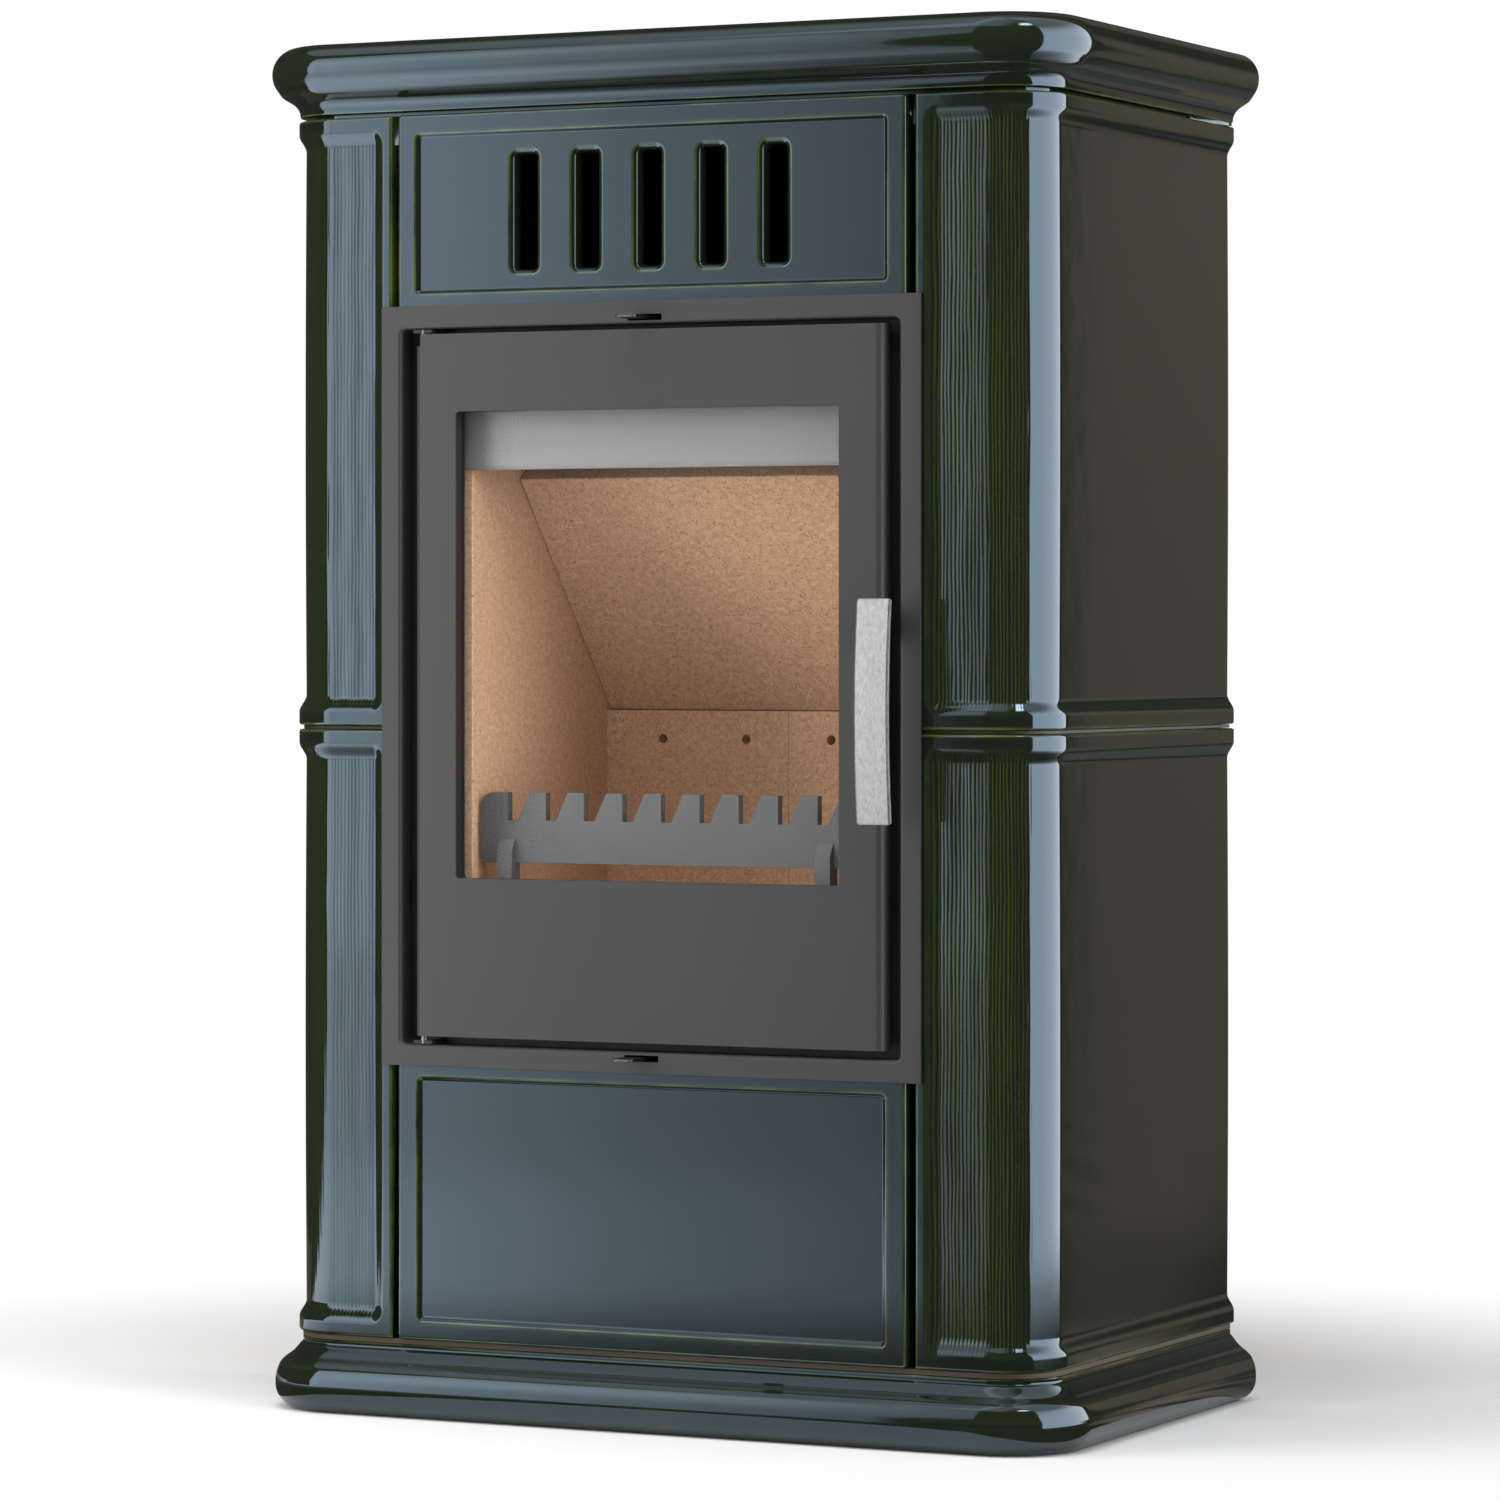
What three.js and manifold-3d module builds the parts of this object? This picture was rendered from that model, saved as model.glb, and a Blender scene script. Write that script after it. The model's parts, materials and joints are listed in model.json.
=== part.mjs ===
// A tiled stove: glazed ceramic tiles round a steel firebox, with a window door, a bowed handle and two air
// slides. Millimetres, +Z up, the door faces -Y. Inside the stove group y = 0 is the front plane of the raised
// tile bands, and y grows towards the back.
import * as THREE from "three";
import { mergeVertices } from "three/addons/utils/BufferGeometryUtils.js";
import Module from "manifold-3d";

const wasm = await Module();
wasm.setup();

// ---------------------------------------------------------------- driving dimensions
const SEAT = 0.3; // gap between pieces that rest on each other

// whole stove
const TILE_WIDTH = 600; // over the raised bands
const TILE_DEPTH = 352; // front bands to the rear edge of the side tiles
const CORNER_RADIUS = 44; // front corners in plan
const CORNER_STEPS = 7; // facets in a quarter turn
const TILE_WALL = 14;

// heights above the floor
const PLINTH_HEIGHT = 51;
const BASE_PLATE = 3.8; // thickness
const LOWER_TILE_TOP = 489;
const JOINT_RAIL = 2.4; // thickness of the rail between the tile courses
const UPPER_TILE_TOP = 926.9;
const STOVE_TOP = 980;

// relief of the corner tiles
const FIELD_DEPTH = 5.3;
const PILASTER_INNER_X = 205;
const BORDER_FLAT = 7;
const BORDER_STEP = 6;

// cornice and plinth
const BULLNOSE_RADIUS = 19;
const CORNICE_WALL = 24;
const CORNICE_SLAB = 25;
const PLINTH_REACH = 17;
const PLINTH_TOE_RADIUS = 16.5;
const PLINTH_WALL = 16;

// front tiles
const FRONT_TILE_HALF = 199;
const FRONT_TILE_PROUD = 1.5;
const FRONT_TILE_WALL = 12.5;
const PANEL_DEPTH = 2.6;
const PANEL_EDGE = 2;
const UPPER_PANEL = { half: 185, low: 799, high: 913 };
const LOWER_PANEL = { half: 183.5, low: 69, high: 243 };
const PANEL_CORNER = 4;
const SLOT_COUNT = 5;
const SLOT_PITCH = 49;
const SLOT_WIDTH = 17;
const SLOT_LOW = 815;
const SLOT_HIGH = 896;
const SLOT_LIP = 4.5;

// steel front: surround, front plate and door
const SURROUND_HALF = 211;
const SURROUND_LOW = 250.5;
const SURROUND_HIGH = 790.4;
const OPENING_HALF = 195;
const OPENING_LOW = 266;
const OPENING_HIGH = 774;
const OPENING_CORNER = 4;
const SHEET = 2; // pressed sheet of surround, door and panels
const SURROUND_LAP = 6; // how far the surround laps over the front tiles
const FRONT_PLATE_Y = 13;
const FRONT_PLATE = 3;
const FRONT_PLATE_HALF = 196;
const FRONT_PLATE_LOW = 254;
const FRONT_PLATE_HIGH = 800;
const APERTURE_HALF = 163;
const APERTURE_LOW = 283;
const APERTURE_HIGH = 759;

const DOOR_HALF = 183.75;
const DOOR_LOW = 272;
const DOOR_HIGH = 770.3;
const DOOR_FACE_Y = -5;
const DOOR_BEND = 6;
const DOOR_FOLD_DEPTH = 12;
const WINDOW_HALF = 150;
const WINDOW_LOW = 384.5;
const WINDOW_HIGH = 715;
const WINDOW_CORNER = 3;
const NOTCH_WIDTH = 5;
const NOTCH_HEIGHT = 8.5;
const LINER_Y = 2.7; // front face of the inner door plate
const LINER_SHEET = 1.5;
const GASKET = 0.8;
const GLASS = 4;
const GLASS_LAP = 8;
const RETAINER_SHEET = 2;
const SEAL_CENTRE_X = 167;
const SEAL_INSET_Z = 7;

// hinge, handle and latch
const HINGE_X = -178;
const PIN_RADIUS = 2.5;
const PIN_INSIDE = 34;
const BRACKET = 2.5;
const BRACKET_NOSE = 8; // radius of its rounded end
const RUN = 0.35; // running clearance of pins, shafts and slides
const SHAFT_X = 176;
const SHAFT_Z = 563;
const SHAFT_RADIUS = 4;
const HANDLE_LEFT = 178.3;
const HANDLE_WIDTH = 25;
const HANDLE_THICK = 4;
const HANDLE_LOW = 427.8;
const HANDLE_HIGH = 581.6;
const HANDLE_END_Y = -37; // front face at the two ends
const HANDLE_BOW = 4.5;
const LEVER_HEIGHT = 22;
const CAM_HEIGHT = 12;
const CAM_THICK = 3;

// air slides
const TAB_WIDTH = 16;
const TAB_REACH = 24;
const SLIDE_SHEET = 2;
const SLIDE_TRAVEL = 8;
const TAB_SLOT_WIDTH = 27;
const TAB_SLOT_HEIGHT = 4.5;
const TAB_SLOT_MARGIN = 2;
const UPPER_TAB_SLOT_X = -0.4;
const LOWER_TAB_SLOT_X = -3;
const PORT_COUNT = 5;
const PORT_LENGTH = 24;
const VALVE_DEPTH = 40;
const DUCT_HEIGHT = 16; // of the upper duct
const DUCT_BEHIND = 12; // how far a duct runs on behind its slide
const DUCT_INLET = { half: 45, depth: 28 }; // opening in the floor of the lower duct

// firebox
const SHELL_HALF = 178;
const SHELL_LOW = 262.5;
const SHELL_HIGH = 777.2;
const SHELL_REAR_Y = 262;
const SHELL_WALL = 3;
const SHELL_CORNER = 3.2; // outer radius of the shell's rear edges
const BRICK = 24.7;
const FLOOR_BRICK = 25;
const BRICK_HEADROOM = 8; // between the side bricks and the roof of the shell
const FIRE_HALF = 150;
const BRICK_FRONT_Y = 21;
const REAR_BRICK_Y = 227;
const REAR_BRICK_TOP = 501;
const AIR_HOLES = { x: [34.5, 103], belowTop: 21, radius: 3.5 }; // in each rear brick
const HEARTH_LOW = 336.7;
const HEARTH_SHEET = 3;
const GRATE_HALF = 75;
const GRATE_FRONT_Y = 60;
const GRATE_REAR_Y = 200;
const GRATE_LEDGE = 5;
const GRATE_THICK = 22;
const GRATE_BARS = 8;
const BAFFLE_LIP = { y: 90, z: 669 }; // lower front edge of the slanted baffle
const BAFFLE_ROOT = { y: 225, z: 511 }; // where its lower face meets the rear wall
const BAFFLE_THICK = 25;
const DEFLECTOR_LOW = 674;
const DEFLECTOR_HIGH = 768;
const DEFLECTOR_HALF = 160;

// log guard
const GUARD_HALF = 147;
const GUARD_Y = 27;
const GUARD_THICK = 7;
const GUARD_LOW = 395;
const GUARD_BAND = 30; // height of the solid band under the teeth
const GUARD_TOOTH = 20; // height of a tooth above the band
const GUARD_FOOT_CUT = 3; // bevel at the ends of the band's lower edge
const GUARD_PITCH = 30.5;
const GUARD_GAP = 8;
const GUARD_FLANK = 9.5;
const GUARD_FIRST = 22;
const GUARD_LEG_X = 125;
const GUARD_LEG_WIDTH = 12;
const GUARD_LEG_REACH = 5.5; // in front of the comb
const GUARD_LEG_SLOPE = 9;
const GUARD_LEG_RISE = 17; // how far a leg reaches up the band

// ash pan and runners
const PAN_HALF = 118;
const PAN_LOW = 286;
const PAN_HEIGHT = 44;
const PAN_FRONT_Y = 22;
const PAN_DEPTH = 200;
const PAN_WALL = 2;

// carcass and flue
const BASE_OPENING = { half: 150, front: 90, rear: 300, radius: 20 };
const CARCASS_WINDOW = { front: 90, rear: 270, low: 90, high: 220, radius: 30 };
const REAR_PANEL_Y = 344;
const VENT_ROWS = [110, 500]; // lowest vent of each group in the rear panel
const VENT_COUNT = 5;
const VENT_PITCH = 18;
const VENT_HEIGHT = 9;
const VENT_HALF = 90;
const TOP_COVER_LOW = 905.3;
const FLUE_Z = 690;
const FLUE_RADIUS = 75;
const FLUE_WALL = 2;
const FLUE_REACH = 25; // behind the rear edge of the tiles
const FLUE_FLANGE_RADIUS = 92;
const PEDESTAL_HALF = 225;
const PEDESTAL_FRONT_Y = 60;
const PEDESTAL_REAR_Y = 320;
const PEDESTAL_LOW = 14;
const FOOT_RADIUS = 18;
const FOOT_THICK = 6;
const FOOT_STEM = 5;
const FOOT_INSET = 30;

// ---------------------------------------------------------------- places that follow from them
const BASE_TOP = PLINTH_HEIGHT + SEAT + BASE_PLATE;
const LOWER_TILE_LOW = BASE_TOP + SEAT;
const RAIL_LOW = LOWER_TILE_TOP + SEAT;
const UPPER_TILE_LOW = RAIL_LOW + JOINT_RAIL + SEAT;
const CORNICE_LOW = UPPER_TILE_TOP + 2 * SEAT;
const SURROUND_FACE_Y = -FRONT_TILE_PROUD - SEAT - SHEET;
const FOLD_BACK_Y = DOOR_FACE_Y + DOOR_FOLD_DEPTH;
const HINGE_Y = (DOOR_FACE_Y + SHEET + LINER_Y) / 2;
const LINER_BACK_Y = LINER_Y + LINER_SHEET;
const GASKET_Y = LINER_BACK_Y + SEAT;
const GLASS_Y = GASKET_Y + GASKET + SEAT;
const GLASS_BACK_Y = GLASS_Y + GLASS;
const SEAL_RADIUS = (FRONT_PLATE_Y - LINER_BACK_Y) / 2 - SEAT;
const SEAL_Y = (FRONT_PLATE_Y + LINER_BACK_Y) / 2;
const FRONT_PLATE_BACK_Y = FRONT_PLATE_Y + FRONT_PLATE;
const SHELL_FRONT_Y = FRONT_PLATE_BACK_Y + SEAT;
const SHELL_FLOOR = SHELL_LOW + SHELL_WALL;
const SHELL_BACK_INNER_Y = SHELL_REAR_Y - SHELL_WALL;
const HEARTH_TOP = HEARTH_LOW + HEARTH_SHEET;
const FLOOR_BRICK_LOW = HEARTH_TOP + SEAT;
const FLOOR_TOP = FLOOR_BRICK_LOW + FLOOR_BRICK;
const GUARD_VALLEY = GUARD_LOW + GUARD_BAND;
const GUARD_TOP = GUARD_VALLEY + GUARD_TOOTH;
const UPPER_SLIDE_LOW = SHELL_HIGH + SEAT;
const LOWER_SLIDE_LOW = SHELL_LOW - SEAT - SLIDE_SHEET;
const PORT_PITCH = 2 * SLIDE_TRAVEL;
const PORT_WIDTH = SLIDE_TRAVEL - 0.6;
const VALVE_HALF = (PORT_COUNT * PORT_PITCH) / 2 + 12;
const VALVE_FRONT_Y = SHELL_FRONT_Y + 4;
const PEDESTAL_TOP = PLINTH_HEIGHT;
const REAR_HALF = TILE_WIDTH / 2 - TILE_WALL - SEAT;
const CHIMNEY_END_Y = TILE_DEPTH + FLUE_REACH;
const REACH_FORWARD = -HANDLE_END_Y + HANDLE_BOW;

// ---------------------------------------------------------------- solids and meshes
function toSolid(geometry) {
  const bare = geometry.clone();
  bare.deleteAttribute("normal");
  bare.deleteAttribute("uv");
  const merged = mergeVertices(bare, 1e-4);
  return new wasm.Manifold(new wasm.Mesh({
    numProp: 3,
    vertProperties: new Float32Array(merged.attributes.position.array),
    triVerts: new Uint32Array(merged.index.array),
  }));
}

function toGeometry(solid) {
  const mesh = solid.getMesh();
  const geometry = new THREE.BufferGeometry();
  geometry.setAttribute("position", new THREE.BufferAttribute(new Float32Array(mesh.vertProperties), 3));
  geometry.setIndex(new THREE.BufferAttribute(new Uint32Array(mesh.triVerts), 1));
  return geometry;
}

const join = (...parts) => parts.reduce((whole, part) => whole.add(part));
const cut = (body, ...tools) => tools.reduce((rest, tool) => rest.subtract(tool), body);

function box(x0, x1, y0, y1, z0, z1) {
  const geometry = new THREE.BoxGeometry(x1 - x0, y1 - y0, z1 - z0);
  return toSolid(geometry.translate((x0 + x1) / 2, (y0 + y1) / 2, (z0 + z1) / 2));
}

// A round bar or hole along Y.
function rodY(x, z, radius, y0, y1, sides = 20) {
  const geometry = new THREE.CylinderGeometry(radius, radius, y1 - y0, sides);
  return toSolid(geometry.translate(x, (y0 + y1) / 2, z));
}

// A round bar or hole along Z.
function rodZ(x, y, radius, z0, z1, sides = 16) {
  const geometry = new THREE.CylinderGeometry(radius, radius, z1 - z0, sides);
  return toSolid(geometry.rotateX(Math.PI / 2).translate(x, y, (z0 + z1) / 2));
}

function extrude(shape, length, curveSegments = 3) {
  return new THREE.ExtrudeGeometry(shape, { depth: length, bevelEnabled: false, curveSegments });
}

// A shape drawn in x and z, as thick as y0 to y1.
function frontPlate(shape, y0, y1, curveSegments = 3) {
  return toSolid(extrude(shape, y1 - y0, curveSegments).rotateX(Math.PI / 2).translate(0, y1, 0));
}

// A shape drawn in x and y, standing from z0 to z1.
function upright(shape, z0, z1, curveSegments = 3) {
  return toSolid(extrude(shape, z1 - z0, curveSegments).translate(0, 0, z0));
}

// A shape drawn in y and z, as wide as x0 to x1.
function crossBar(shape, x0, x1) {
  const turn = new THREE.Matrix4().set(0, 0, 1, x0, 1, 0, 0, 0, 0, 1, 0, 0, 0, 0, 0, 1);
  return toSolid(extrude(shape, x1 - x0).applyMatrix4(turn));
}

function polygon(points) {
  return new THREE.Shape(points.map(([u, v]) => new THREE.Vector2(u, v)));
}

function roundedRect(u0, u1, v0, v1, radius) {
  const shape = new THREE.Shape();
  shape.moveTo(u0 + radius, v0);
  shape.absarc(u1 - radius, v0 + radius, radius, -Math.PI / 2, 0);
  shape.absarc(u1 - radius, v1 - radius, radius, 0, Math.PI / 2);
  shape.absarc(u0 + radius, v1 - radius, radius, Math.PI / 2, Math.PI);
  shape.absarc(u0 + radius, v0 + radius, radius, Math.PI, 1.5 * Math.PI);
  return shape;
}

// A flat ring in x and z: an outer rounded rectangle less an inner one, each { half, low, high, radius }.
function frontRing(outer, inner, y0, y1) {
  const slab = frontPlate(roundedRect(-outer.half, outer.half, outer.low, outer.high, outer.radius), y0, y1);
  const hole = roundedRect(-inner.half, inner.half, inner.low, inner.high, inner.radius);
  return cut(slab, frontPlate(hole, y0 - 1, y1 + 1));
}

const grown = (rect, by) => ({
  half: rect.half + by,
  low: rect.low - by,
  high: rect.high + by,
  radius: Math.max(0.5, rect.radius + by),
});

// Faces between rings of equal length, each ring a list of [x, y, z]. Open ends are closed by flat caps, and a
// closed run joins the last ring to the first.
function skin(rings, closedRun, capOutline) {
  const count = rings[0].length;
  const positions = rings.flat(2);
  const index = [];
  const spans = closedRun ? rings.length : rings.length - 1;
  for (let i = 0; i < spans; i += 1) {
    const here = i * count;
    const next = ((i + 1) % rings.length) * count;
    for (let j = 0; j < count; j += 1) {
      const k = (j + 1) % count;
      index.push(here + j, here + k, next + k, here + j, next + k, next + j);
    }
  }
  if (!closedRun) {
    const last = (rings.length - 1) * count;
    const caps = [[0, capOutline(rings[0]), 1], [last, capOutline(rings.at(-1)), -1]];
    for (const [start, outline, side] of caps) {
      const clockwise = THREE.ShapeUtils.isClockWise(outline);
      for (const [a, b, c] of THREE.ShapeUtils.triangulateShape(outline, [])) {
        const forward = (side > 0) === clockwise;
        index.push(start + a, start + (forward ? b : c), start + (forward ? c : b));
      }
    }
  }
  const geometry = new THREE.BufferGeometry();
  geometry.setAttribute("position", new THREE.BufferAttribute(new Float32Array(positions), 3));
  geometry.setIndex(index);
  return geometry;
}

function signedVolume(geometry) {
  const [p, index] = [geometry.attributes.position, geometry.index];
  const [a, b, c] = [new THREE.Vector3(), new THREE.Vector3(), new THREE.Vector3()];
  let volume = 0;
  for (let i = 0; i < index.count; i += 3) {
    a.fromBufferAttribute(p, index.getX(i));
    b.fromBufferAttribute(p, index.getX(i + 1));
    c.fromBufferAttribute(p, index.getX(i + 2));
    volume += a.dot(b.cross(c)) / 6;
  }
  return volume;
}

function outward(geometry) {
  if (signedVolume(geometry) >= 0) return toSolid(geometry);
  const index = Array.from(geometry.index.array);
  for (let i = 0; i < index.length; i += 3) [index[i + 1], index[i + 2]] = [index[i + 2], index[i + 1]];
  geometry.setIndex(index);
  return toSolid(geometry);
}

// ---------------------------------------------------------------- the tiled walls in plan
// Stations along the wall: a foot point, the outward normal and the run s from the start. The wall starts on the
// front at x = -startX, turns the left front corner and ends at the rear.
function leftWall(startX, rearY = TILE_DEPTH, frontRuns = []) {
  const half = TILE_WIDTH / 2;
  const stations = [0, ...frontRuns].map((s) => ({ x: -startX - s, y: 0, nx: 0, ny: -1, s }));
  const straight = half - CORNER_RADIUS - startX;
  for (let i = 0; i <= CORNER_STEPS; i += 1) {
    const turn = (i / CORNER_STEPS) * (Math.PI / 2);
    const [nx, ny] = [-Math.sin(turn), -Math.cos(turn)];
    const [cx, cy] = [-half + CORNER_RADIUS, CORNER_RADIUS];
    stations.push({
      x: cx + nx * CORNER_RADIUS, y: cy + ny * CORNER_RADIUS, nx, ny, s: straight + turn * CORNER_RADIUS,
    });
  }
  const s = straight + (Math.PI / 2) * CORNER_RADIUS + rearY - CORNER_RADIUS;
  stations.push({ x: -half, y: rearY, nx: -1, ny: 0, s });
  return stations;
}

const mirrored = (stations) => stations.map((station) => ({ ...station, x: -station.x, nx: -station.nx }));

// The whole wall, from the rear left to the rear right.
function fullWall(rearY = TILE_DEPTH) {
  const left = leftWall(0, rearY).slice(1);
  return [...left.slice().reverse(), ...mirrored(left)];
}

const place = (station, offset, z) => [station.x + station.nx * offset, station.y + station.ny * offset, z];

// A wall whose section is a loop of [offset, z], the same loop or one for each station.
function sweptWall(stations, sectionAt) {
  const rings = stations.map((station) => sectionAt(station).map(([offset, z]) => place(station, offset, z)));
  const outline = () => sectionAt(stations[0]).map(([offset, z]) => new THREE.Vector2(offset, z));
  const last = () => sectionAt(stations.at(-1)).map(([offset, z]) => new THREE.Vector2(offset, z));
  return outward(skin(rings, false, (ring) => (ring === rings[0] ? outline() : last())));
}

// A solid slab with the plan of the stove, its edge following a list of [offset, z] from bottom to top.
function planSlab(edge, rearY = TILE_DEPTH) {
  const stations = fullWall(rearY);
  const rings = edge.map(([offset, z]) => stations.map((station) => place(station, offset, z)));
  return outward(skin(rings, false, (ring) => ring.map(([x, y]) => new THREE.Vector2(x, y))));
}

function arcPoints(cu, cv, radius, fromDeg, toDeg, steps) {
  return Array.from({ length: steps + 1 }, (_, i) => {
    const angle = THREE.MathUtils.degToRad(fromDeg + ((toDeg - fromDeg) * i) / steps);
    return [cu + radius * Math.cos(angle), cv + radius * Math.sin(angle)];
  });
}

// ---------------------------------------------------------------- ceramic pieces
function corniceTile() {
  const neck = -1.1;
  const noseZ = STOVE_TOP - BULLNOSE_RADIUS;
  const cove = [[-0.7, 6], [0.5, 8.8], [3, 11.7], [7.2, 14.4], [11.6, 17.2]];
  const edge = [
    [neck - 1, CORNICE_LOW],
    [neck, CORNICE_LOW + 0.8],
    [neck, CORNICE_LOW + 3],
    ...cove.map(([offset, rise]) => [offset, CORNICE_LOW + rise]),
    ...arcPoints(0.3, noseZ, BULLNOSE_RADIUS, -40, 90, 9),
  ];
  const pocket = planSlab([[-CORNICE_WALL, CORNICE_LOW - 1], [-CORNICE_WALL, STOVE_TOP - CORNICE_SLAB]],
    TILE_DEPTH - CORNICE_WALL);
  return cut(planSlab(edge), pocket);
}

function plinthTile() {
  const ogee = [[0, -3], [3, -3.2], [5.5, -1], [9, 1.9], [12, 5], [14.6, 8.7], [17.3, 11.9], [20.1, 14],
    [25.8, 16.3], [31, PLINTH_REACH]];
  const toe = arcPoints(PLINTH_REACH - PLINTH_TOE_RADIUS, PLINTH_TOE_RADIUS, PLINTH_TOE_RADIUS, 0, -90, 6);
  const section = [
    [-PLINTH_WALL, PLINTH_HEIGHT],
    ...ogee.map(([drop, offset]) => [offset, PLINTH_HEIGHT - drop]),
    ...toe,
    [-PLINTH_WALL, 0],
  ];
  return sweptWall(fullWall(), () => section);
}

// Relief of a corner tile: raised bands above and below, a sunken field between them, and a raised border along
// the inner edge of the pilaster. Each row is [height above the lower edge or below the upper edge, offset].
const BOTTOM_ROWS = [[0, -1.8], [1.6, -0.7], [7, -0.7], [10, -1.3], [13, -3.4], [18, -FIELD_DEPTH - 0.3]];
const TOP_ROWS = [[22.4, -FIELD_DEPTH - 0.3], [19, -4.6], [16, -2], [13, -0.7], [9, -0.3], [4, -0.3],
  [1.8, -0.8], [0, -1.8]];
const FIELD_BOW = 0.9;

function cornerTile(low, high, mirror) {
  const borderRuns = [1.5, BORDER_FLAT, BORDER_FLAT + BORDER_STEP / 2, BORDER_FLAT + BORDER_STEP];
  const rows = [
    ...BOTTOM_ROWS.map(([rise, offset]) => ({ z: low + rise, offset, edge: rise < 1 })),
    { z: (low + high) / 2, offset: -FIELD_DEPTH + FIELD_BOW, edge: false },
    ...TOP_ROWS.map(([drop, offset]) => ({ z: high - drop, offset, edge: drop < 1 })),
  ];
  const section = ({ s }) => {
    const sink = THREE.MathUtils.smoothstep(s, BORDER_FLAT, BORDER_FLAT + BORDER_STEP);
    const roll = s < 1 ? -1.2 : 0;
    const front = rows.map(({ z, offset, edge }) => {
      const border = edge ? offset : Math.max(offset, -0.3) + roll;
      return [THREE.MathUtils.lerp(border, offset, sink), z];
    });
    return [...front, [-TILE_WALL, high], [-TILE_WALL, low]];
  };
  const stations = leftWall(PILASTER_INNER_X, TILE_DEPTH, borderRuns);
  return sweptWall(mirror ? mirrored(stations) : stations, section);
}

// A solid through rounded rectangles in x and z, each ring [y, growth], to sink a panel or open a flared slot.
function flared(x, rect, ...levels) {
  const rings = levels.map(([y, growth]) => {
    const { half, low, high, radius } = grown(rect, growth);
    const points = roundedRect(x - half, x + half, low, high, radius).getPoints(2);
    if (points[0].distanceTo(points.at(-1)) < 1e-6) points.pop();
    return points.map((point) => [point.x, y, point.y]);
  });
  return outward(skin(rings, false, (points) => points.map(([u, , v]) => new THREE.Vector2(u, v))));
}

function frontTile(low, high, panel) {
  const face = -FRONT_TILE_PROUD;
  const back = face + FRONT_TILE_WALL;
  const roll = 2;
  const slab = { half: FRONT_TILE_HALF, low, high, radius: 3 };
  const body = flared(0, slab, [face, -roll], [face + 0.3 * roll, -0.3 * roll], [face + roll, 0], [back, 0]);
  const rect = { ...panel, radius: PANEL_CORNER };
  const sunk = flared(0, rect, [face - SEAT, PANEL_EDGE / 4], [face + PANEL_DEPTH, -PANEL_EDGE]);
  return cut(body, sunk);
}

function upperFrontTile() {
  const floorY = -FRONT_TILE_PROUD + PANEL_DEPTH;
  const backY = -FRONT_TILE_PROUD + FRONT_TILE_WALL;
  const slot = { half: SLOT_WIDTH / 2, low: SLOT_LOW, high: SLOT_HIGH, radius: 3 };
  let tile = frontTile(SURROUND_HIGH - SURROUND_LAP - SEAT, UPPER_TILE_TOP, UPPER_PANEL);
  for (let i = 0; i < SLOT_COUNT; i += 1) {
    const x = (i - (SLOT_COUNT - 1) / 2) * SLOT_PITCH;
    tile = cut(tile, flared(x, slot, [floorY - SEAT, SLOT_LIP], [floorY + 5, 0], [backY + 1, 0]));
  }
  return tile;
}

const lowerFrontTile = () => frontTile(LOWER_TILE_LOW, SURROUND_LOW + SURROUND_LAP, LOWER_PANEL);

// ---------------------------------------------------------------- carcass
function basePlate() {
  const low = PLINTH_HEIGHT + SEAT;
  const { half, front, rear, radius } = BASE_OPENING;
  const hole = upright(roundedRect(-half, half, front, rear, radius), low - 1, BASE_TOP + 1);
  return cut(planSlab([[-3, low], [-3, BASE_TOP]]), hole);
}

function jointRail(mirror) {
  const section = [[-3.5, RAIL_LOW], [-3.5, RAIL_LOW + JOINT_RAIL], [-TILE_WALL, RAIL_LOW + JOINT_RAIL],
    [-TILE_WALL, RAIL_LOW]];
  const stations = leftWall(PILASTER_INNER_X + 2);
  return sweptWall(mirror ? mirrored(stations) : stations, () => section);
}

function pedestal() {
  const [x, y0, y1] = [PEDESTAL_HALF, PEDESTAL_FRONT_Y, PEDESTAL_REAR_Y];
  const outer = upright(roundedRect(-x, x, y0, y1, 6), PEDESTAL_LOW, PEDESTAL_TOP);
  const wall = SHELL_WALL;
  const inner = roundedRect(-x + wall, x - wall, y0 + wall, y1 - wall, 6 - wall);
  return cut(outer, upright(inner, PEDESTAL_LOW - 1, PEDESTAL_TOP - wall));
}

function levellingFoot(sideX, y) {
  const x = sideX * (PEDESTAL_HALF - FOOT_INSET);
  const stemTop = PEDESTAL_TOP - SHELL_WALL - SEAT;
  const profile = [[0, 0], [FOOT_RADIUS - 1.5, 0], [FOOT_RADIUS, 1.5], [FOOT_RADIUS - 1, FOOT_THICK],
    [FOOT_STEM + 3, FOOT_THICK], [FOOT_STEM + 3, FOOT_THICK + 5], [FOOT_STEM, FOOT_THICK + 5],
    [FOOT_STEM, stemTop], [0, stemTop]];
  const lathe = new THREE.LatheGeometry(profile.map(([r, z]) => new THREE.Vector2(r, z)), 12);
  return outward(mergeVertices(plain(lathe.rotateX(Math.PI / 2)), 1e-4)).translate([x, y, 0]);
}

function plain(geometry) {
  geometry.deleteAttribute("normal");
  geometry.deleteAttribute("uv");
  return geometry;
}

function sidePanel(side) {
  const [inner, outer] = [SHELL_HALF + SEAT, SHELL_HALF + SEAT + SHEET];
  const [front, rear] = [SHELL_FRONT_Y, REAR_PANEL_Y - SEAT];
  const edge = FRONT_PLATE_HALF;
  const shape = polygon([[inner, front], [edge, front], [edge, front + SHEET], [outer, front + SHEET],
    [outer, rear - SHEET], [edge, rear - SHEET], [edge, rear], [inner, rear]].map(([x, y]) => [side * x, y]));
  const { front: f, rear: r, low, high, radius } = CARCASS_WINDOW;
  const [x0, x1] = side > 0 ? [inner - 1, outer + 1] : [-outer - 1, -inner + 1];
  const window = crossBar(roundedRect(f, r, low, high, radius), x0, x1);
  return cut(upright(shape, BASE_TOP + SEAT, TOP_COVER_LOW - SEAT), window);
}

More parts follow.
